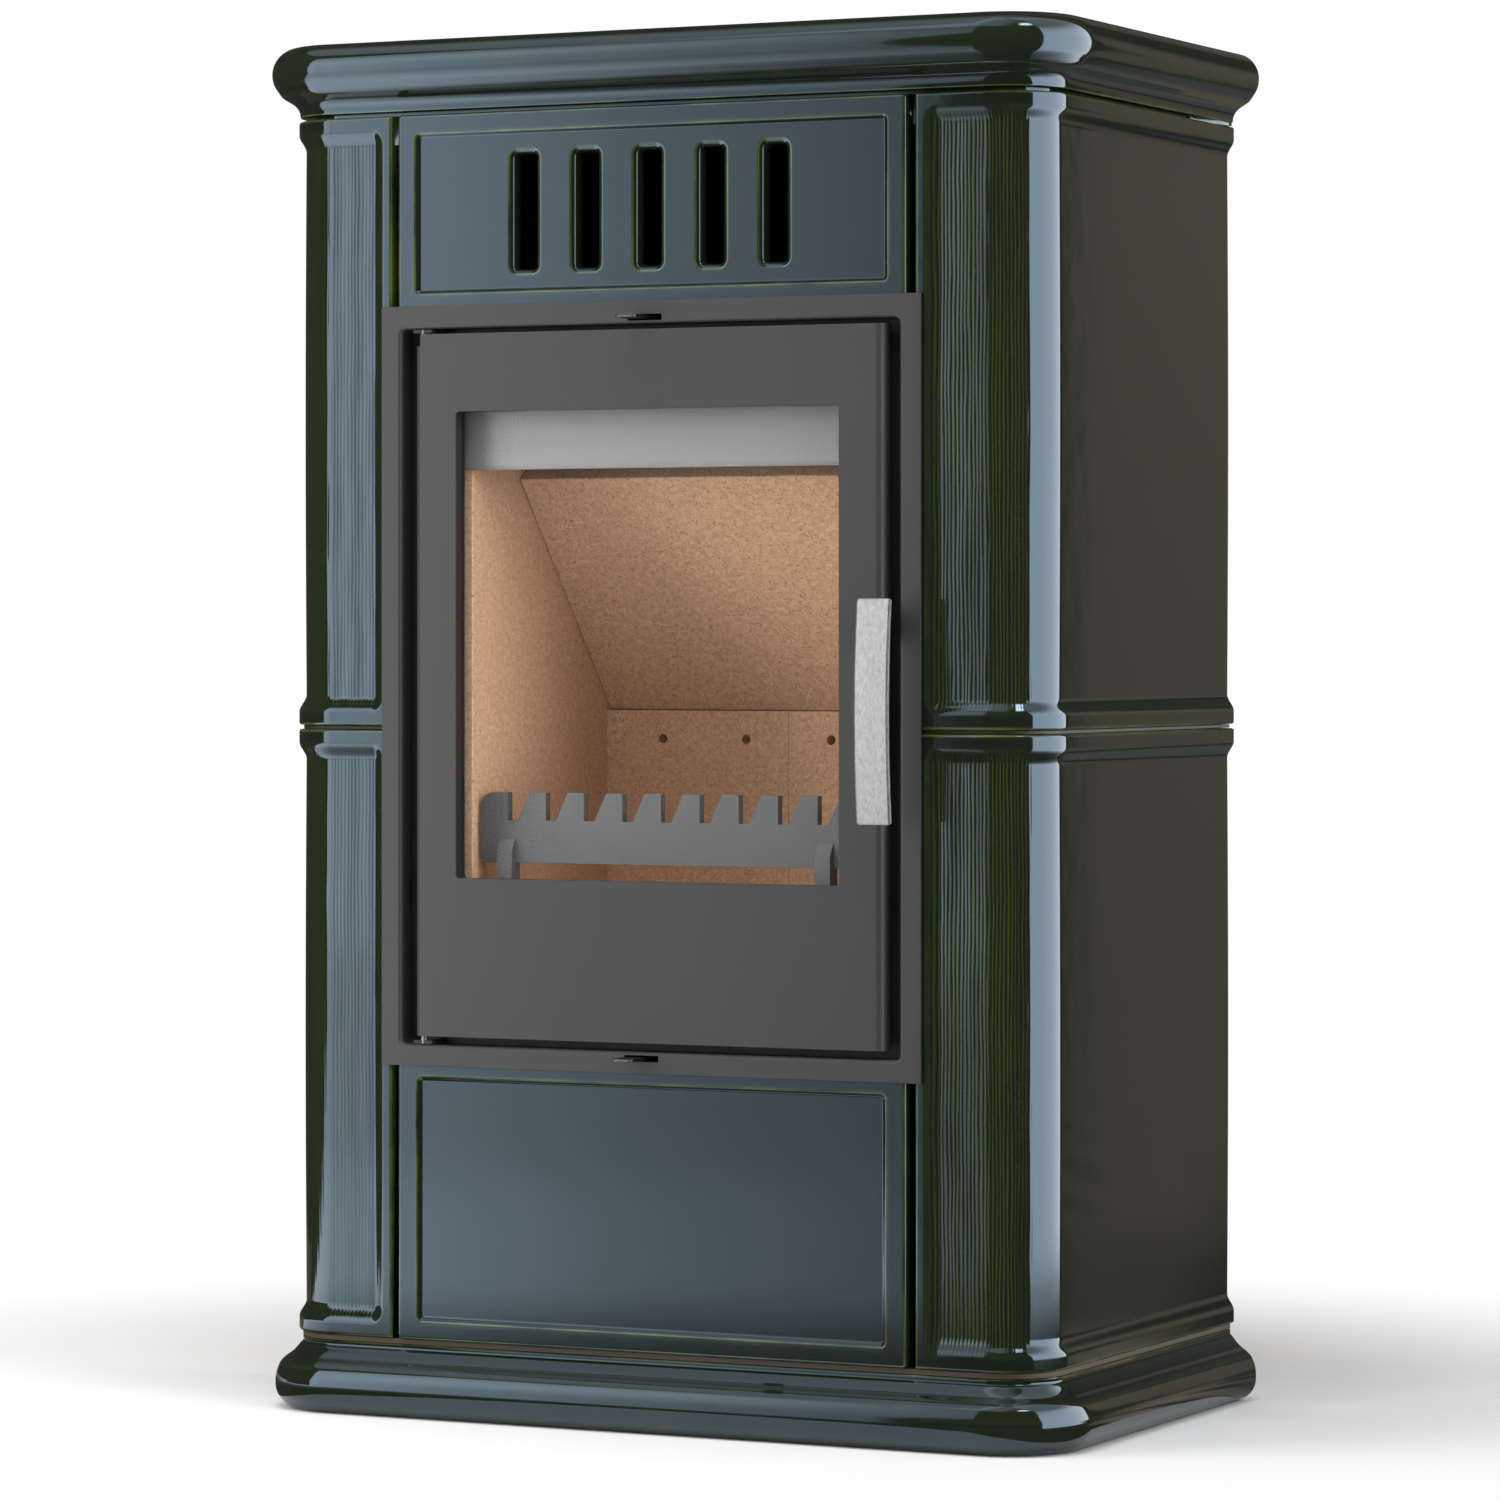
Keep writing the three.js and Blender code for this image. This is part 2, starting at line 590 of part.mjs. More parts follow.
function rearPanel() {
  const [low, high] = [BASE_TOP + SEAT, TOP_COVER_LOW - SEAT];
  const sheet = box(-REAR_HALF, REAR_HALF, REAR_PANEL_Y, REAR_PANEL_Y + SHEET, low, high);
  const holes = [rodY(0, FLUE_Z, FLUE_RADIUS + 3, REAR_PANEL_Y - 1, REAR_PANEL_Y + SHEET + 1, 32)];
  for (const start of VENT_ROWS) {
    for (let i = 0; i < VENT_COUNT; i += 1) {
      const z = start + i * VENT_PITCH;
      const slot = roundedRect(-VENT_HALF, VENT_HALF, z, z + VENT_HEIGHT, VENT_HEIGHT / 2 - 0.5);
      holes.push(frontPlate(slot, REAR_PANEL_Y - 1, REAR_PANEL_Y + SHEET + 1, 2));
    }
  }
  return cut(sheet, ...holes);
}

function topCover() {
  const inset = -TILE_WALL - SEAT;
  return planSlab([[inset, TOP_COVER_LOW], [inset, TOP_COVER_LOW + SHEET]], REAR_PANEL_Y + SHEET);
}

function lintelRail() {
  const backY = FRONT_PLATE_Y - SEAT;
  const webY = -FRONT_TILE_PROUD + FRONT_TILE_WALL + SEAT;
  const top = SURROUND_HIGH - SURROUND_LAP - 2 * SEAT;
  const shape = polygon([[0.5, top - 1.7], [backY, top - 1.7], [backY, top + 18], [webY, top + 18],
    [webY, top], [0.5, top]]);
  return crossBar(shape, -FRONT_TILE_HALF + 4, FRONT_TILE_HALF - 4);
}

// ---------------------------------------------------------------- steel front
const OPENING = { half: OPENING_HALF, low: OPENING_LOW, high: OPENING_HIGH, radius: OPENING_CORNER };
const WINDOW = { half: WINDOW_HALF, low: WINDOW_LOW, high: WINDOW_HIGH, radius: WINDOW_CORNER };

function tabSlot(centreX, slideLow, y0, y1) {
  const z = slideLow + SLIDE_SHEET / 2;
  const [halfWidth, halfHeight] = [TAB_SLOT_WIDTH / 2, TAB_SLOT_HEIGHT / 2];
  return box(centreX - halfWidth, centreX + halfWidth, y0, y1, z - halfHeight, z + halfHeight);
}

const tabSlots = (y0, y1) => [
  tabSlot(UPPER_TAB_SLOT_X, UPPER_SLIDE_LOW, y0, y1),
  tabSlot(LOWER_TAB_SLOT_X, LOWER_SLIDE_LOW, y0, y1),
];

function doorFrame() {
  const outer = { half: SURROUND_HALF, low: SURROUND_LOW, high: SURROUND_HIGH, radius: 1 };
  const face = frontRing(outer, OPENING, SURROUND_FACE_Y, SURROUND_FACE_Y + SHEET);
  const fold = frontRing(grown(OPENING, SHEET), OPENING, SURROUND_FACE_Y + SHEET / 2, FRONT_PLATE_Y - SEAT);
  const whole = join(face, fold);
  return cut(whole, ...tabSlots(SURROUND_FACE_Y - 1, SURROUND_FACE_Y + SHEET + 1));
}

function fireboxFront() {
  const outer = { half: FRONT_PLATE_HALF, low: FRONT_PLATE_LOW, high: FRONT_PLATE_HIGH, radius: 2 };
  const inner = { half: APERTURE_HALF, low: APERTURE_LOW, high: APERTURE_HIGH, radius: 6 };
  const plate = frontRing(outer, inner, FRONT_PLATE_Y, FRONT_PLATE_BACK_Y);
  return cut(plate, ...tabSlots(FRONT_PLATE_Y - 1, FRONT_PLATE_BACK_Y + 1));
}

// The door is one sheet with both long edges bent back.
function doorPanel() {
  const [face, back, half] = [DOOR_FACE_Y, FOLD_BACK_Y, DOOR_HALF];
  const [outer, inner] = [DOOR_BEND, DOOR_BEND - SHEET];
  const shape = new THREE.Shape();
  shape.moveTo(-half, back);
  shape.absarc(-half + outer, face + outer, outer, Math.PI, 1.5 * Math.PI);
  shape.absarc(half - outer, face + outer, outer, 1.5 * Math.PI, 2 * Math.PI);
  shape.lineTo(half, back);
  shape.lineTo(half - SHEET, back);
  shape.absarc(half - outer, face + outer, inner, 0, -Math.PI / 2, true);
  shape.absarc(-half + outer, face + outer, inner, 1.5 * Math.PI, Math.PI, true);
  shape.lineTo(-half + SHEET, back);
  const sheet = upright(shape, DOOR_LOW, DOOR_HIGH);
  const window = frontPlate(roundedRect(-WINDOW.half, WINDOW.half, WINDOW.low, WINDOW.high, WINDOW.radius),
    face - 1, back + 1);
  const notchLow = DOOR_HIGH - NOTCH_HEIGHT;
  const notch = box(-half - 1, -half + NOTCH_WIDTH, face - 1, back + 1, notchLow, DOOR_HIGH + 1);
  const shaftHole = rodY(SHAFT_X, SHAFT_Z, SHAFT_RADIUS + RUN, face - 1, back);
  return cut(sheet, window, notch, shaftHole);
}

function doorLiner() {
  const side = DOOR_HALF - SHEET - SEAT;
  const outer = { half: side, low: DOOR_LOW + 1, high: DOOR_HIGH - 1, radius: 1 };
  const plate = frontRing(outer, WINDOW, LINER_Y, LINER_BACK_Y);
  const reveal = frontRing(grown(WINDOW, SHEET), WINDOW, DOOR_FACE_Y + SHEET + SEAT, LINER_BACK_Y);
  const shaftHole = rodY(SHAFT_X, SHAFT_Z, SHAFT_RADIUS + RUN, LINER_Y - 1, LINER_BACK_Y + 1);
  return cut(join(plate, reveal), shaftHole);
}

const GLASS_EDGE = { ...grown(WINDOW, GLASS_LAP), radius: 4 };

const windowGasket = () => frontRing(GLASS_EDGE, grown(WINDOW, 1), GASKET_Y, GASKET_Y + GASKET);

function windowGlass() {
  const { half, low, high, radius } = GLASS_EDGE;
  return frontPlate(roundedRect(-half, half, low, high, radius), GLASS_Y, GLASS_BACK_Y);
}

function glassRetainer() {
  const inner = grown(GLASS_EDGE, SEAT);
  const outer = grown(inner, RETAINER_SHEET);
  const wall = frontRing(outer, inner, GASKET_Y, GLASS_BACK_Y + SEAT + RETAINER_SHEET);
  const lip = frontRing(outer, grown(WINDOW, 1.5), GLASS_BACK_Y + SEAT, GLASS_BACK_Y + SEAT + RETAINER_SHEET);
  return join(wall, lip);
}

// A rope seal: a round section carried round a rounded rectangle.
function doorSeal() {
  const [low, high, half] = [DOOR_LOW + SEAL_INSET_Z, DOOR_HIGH - SEAL_INSET_Z, SEAL_CENTRE_X];
  const path = roundedRect(-half, half, low, high, 10).getPoints(4);
  if (path[0].distanceTo(path.at(-1)) < 1e-6) path.pop();
  const [centre, sides] = [new THREE.Vector2(0, (low + high) / 2), 8];
  const rings = path.map((point, i) => {
    const next = path[(i + 1) % path.length];
    const last = path[(i + path.length - 1) % path.length];
    const along = next.clone().sub(last).normalize();
    const out = new THREE.Vector2(along.y, -along.x);
    if (out.dot(point.clone().sub(centre)) < 0) out.negate();
    return Array.from({ length: sides }, (_, k) => {
      const angle = ((k + 0.5) / sides) * 2 * Math.PI;
      const [r, y] = [Math.cos(angle) * SEAL_RADIUS, Math.sin(angle) * SEAL_RADIUS];
      return [point.x + out.x * r, SEAL_Y + y, point.y + out.y * r];
    });
  });
  return outward(skin(rings, true));
}

// ---------------------------------------------------------------- hinge, handle and latch
function hingePin(upper) {
  const bracketFace = upper ? OPENING_HIGH - SEAT : OPENING_LOW + SEAT;
  const inside = upper ? DOOR_HIGH - PIN_INSIDE : DOOR_LOW + PIN_INSIDE;
  return rodZ(HINGE_X, HINGE_Y, PIN_RADIUS, Math.min(bracketFace, inside), Math.max(bracketFace, inside));
}

function hingeBracket(upper) {
  const low = upper ? OPENING_HIGH - SEAT - BRACKET : OPENING_LOW + SEAT;
  const nose = BRACKET_NOSE;
  const shape = new THREE.Shape();
  shape.moveTo(HINGE_X - nose, FRONT_PLATE_Y - SEAT);
  shape.absarc(HINGE_X, HINGE_Y, nose, Math.PI, 2 * Math.PI);
  shape.lineTo(HINGE_X + nose, FRONT_PLATE_Y - SEAT);
  const hole = rodZ(HINGE_X, HINGE_Y, PIN_RADIUS + RUN, low - 1, low + BRACKET + 1);
  const ahead = box(HINGE_X - nose - 1, HINGE_X + nose + 1, HINGE_Y - nose - 1, SURROUND_FACE_Y + 1, low - 1,
    low + BRACKET + 1);
  return cut(upright(shape, low, low + BRACKET), ahead, hole);
}

// Side view of the bowed flat bar: its front face is an arc through the two ends and the bow.
function bowedBar(gap) {
  const halfLength = (HANDLE_HIGH - HANDLE_LOW) / 2;
  const radius = (halfLength ** 2 + HANDLE_BOW ** 2) / (2 * HANDLE_BOW);
  const centre = { y: HANDLE_END_Y - HANDLE_BOW + radius, z: (HANDLE_HIGH + HANDLE_LOW) / 2 };
  const spread = THREE.MathUtils.radToDeg(Math.asin(halfLength / radius));
  const front = arcPoints(centre.y, centre.z, radius + gap, 180 - spread, 180 + spread, 10);
  const back = arcPoints(centre.y, centre.z, radius - HANDLE_THICK - gap, 180 + spread, 180 - spread, 10);
  return polygon([...front, ...back]);
}

const handleBar = () => crossBar(bowedBar(0), HANDLE_LEFT, HANDLE_LEFT + HANDLE_WIDTH);

// The lever carries the bar on a cranked strap and turns on the shaft through the door.
function handleLever() {
  const face = DOOR_FACE_Y - SEAT;
  const strap = 5;
  const hub = 8;
  const barMid = HANDLE_LEFT + HANDLE_WIDTH / 2;
  const shape = polygon([
    [SHAFT_X - hub, face], [SHAFT_X - hub, face - strap], [SHAFT_X + hub - 4, face - strap],
    [barMid - 5, HANDLE_END_Y + 12], [barMid - 9, HANDLE_END_Y - HANDLE_BOW],
    [barMid + 9, HANDLE_END_Y - HANDLE_BOW], [barMid + 1, HANDLE_END_Y + 11], [SHAFT_X + hub + 1, face],
  ]);
  const [low, high] = [SHAFT_Z - LEVER_HEIGHT / 2, SHAFT_Z + LEVER_HEIGHT / 2];
  const strapSolid = upright(shape, low, high);
  const barSpace = crossBar(bowedBar(SEAT), HANDLE_LEFT - 1, HANDLE_LEFT + HANDLE_WIDTH + 1);
  const ahead = box(HANDLE_LEFT - 5, HANDLE_LEFT + HANDLE_WIDTH + 5, HANDLE_END_Y - HANDLE_BOW - 5,
    HANDLE_END_Y + 1, low - 1, high + 1);
  const shaft = rodY(SHAFT_X, SHAFT_Z, SHAFT_RADIUS, face - 1, LINER_BACK_Y);
  return join(cut(strapSolid, barSpace, ahead), shaft);
}

const CAM_BACK_Y = FRONT_PLATE_Y - SEAT - 1.5 - SEAT;

function latchCam() {
  const y0 = LINER_BACK_Y + SEAT;
  const shape = roundedRect(SHAFT_X - CAM_THICK / 2, SHAFT_X + CAM_THICK / 2, SHAFT_Z - CAM_HEIGHT / 2,
    SHAFT_Z + CAM_HEIGHT / 2, 1.2);
  return frontPlate(shape, y0, CAM_BACK_Y);
}

// Two spring leaves above and below the cam, on a foot that is fixed to the front plate.
function doorCatch() {
  const [x0, x1] = [SHAFT_X - 4.5, SHAFT_X + 4.5];
  const [gapHalf, leaf, foot] = [CAM_HEIGHT / 2 + RUN, 1.5, 1.5];
  const [front, back] = [LINER_BACK_Y + 1, FRONT_PLATE_Y - SEAT];
  const half = gapHalf + leaf;
  const shape = polygon([[back, -half], [back, half], [front, half], [front, gapHalf], [back - foot, gapHalf],
    [back - foot, -gapHalf], [front, -gapHalf], [front, -half]].map(([y, z]) => [y, z + SHAFT_Z]));
  return crossBar(shape, x0, x1);
}

// ---------------------------------------------------------------- air slides
// Ports in a row, at the fixed pitch, shifted by a part of it.
function ports(centreX, y, z0, z1) {
  return Array.from({ length: PORT_COUNT }, (_, i) => {
    const x = centreX + (i - (PORT_COUNT - 1) / 2) * PORT_PITCH;
    return box(x - PORT_WIDTH / 2, x + PORT_WIDTH / 2, y - PORT_LENGTH / 2, y + PORT_LENGTH / 2, z0, z1);
  });
}

const PORT_Y = VALVE_FRONT_Y + VALVE_DEPTH / 2;

// A flat slide with ports, and the tab that comes out of the surround.
function airSlide(slotX, low) {
  const tabLeft = slotX - TAB_SLOT_WIDTH / 2 + TAB_SLOT_MARGIN;
  const centre = tabLeft + TAB_WIDTH / 2;
  const [half, front, rear] = [VALVE_HALF, VALVE_FRONT_Y, VALVE_FRONT_Y + VALVE_DEPTH];
  const [tip, nose] = [SURROUND_FACE_Y - TAB_REACH, 2];
  const shape = polygon([
    [centre - half, rear], [centre - half, front], [tabLeft, front], [tabLeft, tip + nose],
    [tabLeft + nose, tip], [tabLeft + TAB_WIDTH - nose, tip], [tabLeft + TAB_WIDTH, tip + nose],
    [tabLeft + TAB_WIDTH, front], [centre + half, front], [centre + half, rear],
  ]);
  const sheet = upright(shape, low, low + SLIDE_SHEET);
  return cut(sheet, ...ports(centre, PORT_Y, low - 1, low + SLIDE_SHEET + 1));
}

const slideCentre = (slotX) => slotX - TAB_SLOT_WIDTH / 2 + TAB_SLOT_MARGIN + TAB_WIDTH / 2;

// Side guides and a cover: upper above the firebox, lower below it, with the slide between.
function airDuct(slotX, upper) {
  const centre = slideCentre(slotX) + SLIDE_TRAVEL / 2;
  const inner = VALVE_HALF + SLIDE_TRAVEL / 2 + 1;
  const outer = inner + SHEET;
  const [front, rear] = [SHELL_FRONT_Y, VALVE_FRONT_Y + VALVE_DEPTH + DUCT_BEHIND];
  const slideLow = upper ? UPPER_SLIDE_LOW : LOWER_SLIDE_LOW;
  const [wallLow, wallHigh] = upper
    ? [slideLow, slideLow + DUCT_HEIGHT]
    : [slideLow - SEAT - SHEET, slideLow + SLIDE_SHEET];
  const body = box(centre - outer, centre + outer, front, rear, wallLow, wallHigh);
  const hollow = upper
    ? box(centre - inner, centre + inner, front - 1, rear - SHEET, wallLow - 1, wallHigh - SHEET)
    : box(centre - inner, centre + inner, front - 1, rear - SHEET, wallLow + SHEET, wallHigh + 1);
  const mouth = upper
    ? box(centre - inner + 10, centre + inner - 10, rear - SHEET - 1, rear + 1, wallLow + 5, wallHigh - 3)
    : box(centre - DUCT_INLET.half, centre + DUCT_INLET.half, PORT_Y - DUCT_INLET.depth / 2,
      PORT_Y + DUCT_INLET.depth / 2, wallLow - 1, wallLow + SHEET + 1);
  return cut(body, hollow, mouth);
}

// ---------------------------------------------------------------- firebox
function fireboxShell() {
  const [x, y1] = [SHELL_HALF, SHELL_REAR_Y];
  const wall = SHELL_WALL;
  const ahead = 2 * SHELL_CORNER; // the rounded front edges are cut off, which leaves the front open
  const outer = upright(roundedRect(-x, x, SHELL_FRONT_Y - ahead, y1, SHELL_CORNER), SHELL_LOW, SHELL_HIGH);
  const innerPlan = roundedRect(-x + wall, x - wall, SHELL_FRONT_Y - 2 * ahead, y1 - wall, SHELL_CORNER - wall);
  const inner = upright(innerPlan, SHELL_LOW + wall, SHELL_HIGH - wall);
  const trimFront = SHELL_FRONT_Y - 3 * ahead;
  const frontTrim = box(-x - 1, x + 1, trimFront, SHELL_FRONT_Y, SHELL_LOW - 1, SHELL_HIGH + 1);
  const flue = rodY(0, FLUE_Z, FLUE_RADIUS - FLUE_WALL, y1 - wall - 1, y1 + 1, 32);
  const upperX = slideCentre(UPPER_TAB_SLOT_X) + SLIDE_TRAVEL;
  const lowerX = slideCentre(LOWER_TAB_SLOT_X) + SLIDE_TRAVEL;
  const upperPorts = ports(upperX, PORT_Y, SHELL_HIGH - wall - 1, SHELL_HIGH + 1);
  const lowerPorts = ports(lowerX, PORT_Y, SHELL_LOW - 1, SHELL_LOW + wall + 1);
  return cut(outer, inner, frontTrim, flue, ...upperPorts, ...lowerPorts);
}

function flueCollar() {
  const [r0, r1] = [FLUE_RADIUS - FLUE_WALL, FLUE_RADIUS];
  const [flangeY, flange] = [SHELL_REAR_Y + SEAT, 3];
  const points = [[r0, flangeY], [FLUE_FLANGE_RADIUS, flangeY], [FLUE_FLANGE_RADIUS, flangeY + flange],
    [r1, flangeY + flange], [r1, CHIMNEY_END_Y], [r0, CHIMNEY_END_Y], [r0, flangeY]];
  const lathe = new THREE.LatheGeometry(points.map(([r, y]) => new THREE.Vector2(r, y)), 32);
  return outward(mergeVertices(plain(lathe), 1e-4)).translate([0, 0, FLUE_Z]);
}

function hearthPlate() {
  const side = SHELL_HALF - SHELL_WALL - SEAT;
  const plate = box(-side, side, SHELL_FRONT_Y + 2, SHELL_BACK_INNER_Y - SEAT, HEARTH_LOW, HEARTH_TOP);
  const half = GRATE_HALF - GRATE_LEDGE;
  const holePlan = roundedRect(-half, half, GRATE_FRONT_Y + GRATE_LEDGE, GRATE_REAR_Y - GRATE_LEDGE, 6);
  const hole = upright(holePlan, HEARTH_LOW - 1, HEARTH_TOP + 1);
  return cut(plate, hole);
}

function floorBrick(side) {
  const outerX = FIRE_HALF - SEAT;
  const block = side > 0
    ? box(SEAT / 2, outerX, BRICK_FRONT_Y, SHELL_BACK_INNER_Y - SEAT, FLOOR_BRICK_LOW, FLOOR_TOP)
    : box(-outerX, -SEAT / 2, BRICK_FRONT_Y, SHELL_BACK_INNER_Y - SEAT, FLOOR_BRICK_LOW, FLOOR_TOP);
  const half = GRATE_HALF;
  return cut(block, box(-half, half, GRATE_FRONT_Y, GRATE_REAR_Y, FLOOR_BRICK_LOW - 1, FLOOR_TOP + 1));
}

function fireGrate() {
  const [half, y0, y1] = [GRATE_HALF - SEAT, GRATE_FRONT_Y + SEAT, GRATE_REAR_Y - SEAT];
  const [low, high] = [FLOOR_BRICK_LOW, FLOOR_BRICK_LOW + GRATE_THICK];
  const block = upright(roundedRect(-half, half, y0, y1, 5), low, high);
  const [rim, bar] = [8, 8];
  const gapCount = GRATE_BARS - 1;
  const gap = (2 * (half - rim) - (gapCount - 1) * bar) / gapCount;
  const slots = Array.from({ length: gapCount }, (_, i) => {
    const x = -half + rim + i * (gap + bar);
    return upright(roundedRect(x, x + gap, y0 + rim, y1 - rim, 3), low - 1, high + 1, 2);
  });
  return cut(block, ...slots);
}

function sideBrick(side) {
  const [near, far] = [FIRE_HALF, FIRE_HALF + BRICK];
  const [x0, x1] = side > 0 ? [near, far] : [-far, -near];
  const top = SHELL_HIGH - SHELL_WALL - BRICK_HEADROOM;
  return box(x0, x1, BRICK_FRONT_Y, SHELL_BACK_INNER_Y - SEAT, FLOOR_BRICK_LOW, top);
}

function rearBrick(side) {
  const near = SEAT / 2;
  const far = FIRE_HALF - SEAT;
  const [x0, x1] = side > 0 ? [near, far] : [-far, -near];
  const block = box(x0, x1, REAR_BRICK_Y, REAR_BRICK_Y + BRICK, FLOOR_TOP + SEAT, REAR_BRICK_TOP);
  const holeZ = REAR_BRICK_TOP - AIR_HOLES.belowTop;
  const holes = AIR_HOLES.x.map((x) => rodY(side * x, holeZ, AIR_HOLES.radius, REAR_BRICK_Y - 1,
    REAR_BRICK_Y + BRICK + 1, 12));
  return cut(block, ...holes);
}

function rearAirFrame() {
  const outerX = FIRE_HALF - SEAT;
  const [y0, y1] = [REAR_BRICK_Y + BRICK + SEAT, SHELL_BACK_INNER_Y - SEAT];
  const [low, high, rim] = [FLOOR_TOP + SEAT, REAR_BRICK_TOP, 10];
  const block = box(-outerX, outerX, y0, y1, low, high);
  return cut(block, box(-outerX + rim, outerX - rim, y0 - 1, y1 + 1, low + rim, high - rim));
}

// The slanted brick leans on the rear bricks and on the back of the shell.
function baffleBrick() {
  const along = new THREE.Vector2(BAFFLE_ROOT.y - BAFFLE_LIP.y, BAFFLE_ROOT.z - BAFFLE_LIP.z).normalize();
  const up = new THREE.Vector2(-along.y, along.x).multiplyScalar(BAFFLE_THICK);
  const seatZ = REAR_BRICK_TOP + SEAT;
  const backY = SHELL_BACK_INNER_Y - SEAT;
  const slope = along.y / along.x;
  const footY = BAFFLE_ROOT.y + (seatZ - BAFFLE_ROOT.z) / slope;
  const heelZ = BAFFLE_ROOT.z + up.y + (backY - BAFFLE_ROOT.y - up.x) * slope;
  const shape = polygon([[BAFFLE_LIP.y, BAFFLE_LIP.z], [footY, seatZ], [backY, seatZ], [backY, heelZ],
    [BAFFLE_LIP.y + up.x, BAFFLE_LIP.z + up.y]]);
  return crossBar(shape, -FIRE_HALF + SEAT, FIRE_HALF - SEAT);
}

function airDeflector() {
  const [y, lip] = [FRONT_PLATE_BACK_Y + SEAT, 5];
  const shape = polygon([[y, DEFLECTOR_HIGH], [y, DEFLECTOR_LOW + lip], [y + 2, DEFLECTOR_LOW],
    [y + 4, DEFLECTOR_LOW], [y + SHEET, DEFLECTOR_LOW + lip + 1], [y + SHEET, DEFLECTOR_HIGH]]);
  return crossBar(shape, -DEFLECTOR_HALF, DEFLECTOR_HALF);
}

// A cast comb: each tooth rises on a slanted flank and drops straight.
function logGuard() {
  const shoulder = GUARD_TOOTH / 2;
  const footCut = (GUARD_FOOT_CUT * 2) / 3;
  const points = [[-GUARD_HALF + footCut, GUARD_LOW], [-GUARD_HALF, GUARD_LOW + GUARD_FOOT_CUT]];
  points.push(...arcPoints(-GUARD_HALF + shoulder, GUARD_TOP - shoulder, shoulder, 180, 90, 4));
  let x = -GUARD_HALF + GUARD_FIRST;
  points.push([x, GUARD_TOP], [x, GUARD_VALLEY], [x + GUARD_GAP, GUARD_VALLEY]);
  for (x += GUARD_GAP; x + GUARD_PITCH - GUARD_GAP < GUARD_HALF; x += GUARD_PITCH) {
    const drop = x + GUARD_PITCH - GUARD_GAP;
    points.push([x + GUARD_FLANK, GUARD_TOP], [drop, GUARD_TOP], [drop, GUARD_VALLEY]);
    points.push([x + GUARD_PITCH, GUARD_VALLEY]);
  }
  points.push([x + GUARD_FLANK, GUARD_TOP], [GUARD_HALF, GUARD_TOP], [GUARD_HALF, GUARD_LOW + GUARD_FOOT_CUT],
    [GUARD_HALF - footCut, GUARD_LOW]);
  const comb = frontPlate(polygon(points), GUARD_Y, GUARD_Y + GUARD_THICK);
  const legs = [-1, 1].map((side) => {
    const [x0, x1] = [side * GUARD_LEG_X - GUARD_LEG_WIDTH / 2, side * GUARD_LEG_X + GUARD_LEG_WIDTH / 2];
    const front = GUARD_Y - GUARD_LEG_REACH;
    const top = GUARD_LOW + GUARD_LEG_RISE;
    const shape = polygon([[front, FLOOR_TOP + SEAT], [GUARD_Y + GUARD_THICK, FLOOR_TOP + SEAT],
      [GUARD_Y + GUARD_THICK, top], [GUARD_Y - 0.5, top], [front, top - GUARD_LEG_SLOPE]]);
    return crossBar(shape, x0, x1);
  });
  return join(comb, ...legs);
}

function ashRunner(side) {
  const [web, low, shelf] = [PAN_HALF + 1.5, SHELL_FLOOR + SEAT, PAN_LOW - SEAT];
  const shape = polygon([[web + 20, low], [web + 20, low + SHEET], [web + SHEET, low + SHEET],
    [web + SHEET, shelf + 14], [web, shelf + 14], [web, shelf], [web - 16, shelf], [web - 16, shelf - SHEET], [web, shelf - SHEET],
    [web, low]].map(([x, z]) => [side * x, z]));
  return frontPlate(shape, BRICK_FRONT_Y, SHELL_BACK_INNER_Y - 10);
}

function ashPan() {
  const [half, y0, y1, top] = [PAN_HALF, PAN_FRONT_Y, PAN_FRONT_Y + PAN_DEPTH, PAN_LOW + PAN_HEIGHT];
  const wall = PAN_WALL;
  const outer = upright(roundedRect(-half, half, y0, y1, 6), PAN_LOW, top);
  const innerPlan = roundedRect(-half + wall, half - wall, y0 + wall, y1 - wall, 6 - wall);
  const inner = upright(innerPlan, PAN_LOW + wall, top + 1);
  const grip = frontPlate(roundedRect(-35, 35, top - 18, top - 8, 5), y0 - 1, y0 + wall + 1);
  return cut(outer, inner, grip);
}

// ---------------------------------------------------------------- materials and assembly
const finish = (color, roughness, metalness) => new THREE.MeshStandardMaterial({ color, roughness, metalness });
const GLAZE = finish(0x16221c, 0.12, 0);
const GREY_ENAMEL = finish(0x525252, 0.6, 0.2);
const BLACK_STEEL = finish(0x1a1a1a, 0.6, 0.3);
const GALVANISED = finish(0x8d9092, 0.45, 0.8);
const BROWN_STEEL = finish(0x5a4636, 0.6, 0.3);
const FIRE_BRICK = finish(0xb08a68, 0.95, 0);
const CAST_IRON = finish(0x6f6f6e, 0.7, 0.4);
const STAINLESS = finish(0xb9bab9, 0.3, 0.9);
const ROPE = finish(0x3c3a38, 0.95, 0);
const CLEAR_GLASS = finish(0x8a8f90, 0.05, 0);
CLEAR_GLASS.transparent = true;
CLEAR_GLASS.opacity = 0.3;

const stove = new THREE.Group();
stove.position.y = -(CHIMNEY_END_Y - REACH_FORWARD) / 2;

function add(name, solid, material) {
  const mesh = new THREE.Mesh(toGeometry(solid), material);
  mesh.name = name;
  stove.add(mesh);
}

add("cornice_tile", corniceTile(), GLAZE);
add("plinth_tile", plinthTile(), GLAZE);
add("front_tile_upper", upperFrontTile(), GLAZE);
add("front_tile_lower", lowerFrontTile(), GLAZE);
add("base_plate", basePlate(), BROWN_STEEL);
add("pedestal", pedestal(), BLACK_STEEL);
add("rear_panel", rearPanel(), BLACK_STEEL);
add("top_cover", topCover(), BLACK_STEEL);
add("lintel_rail", lintelRail(), GALVANISED);

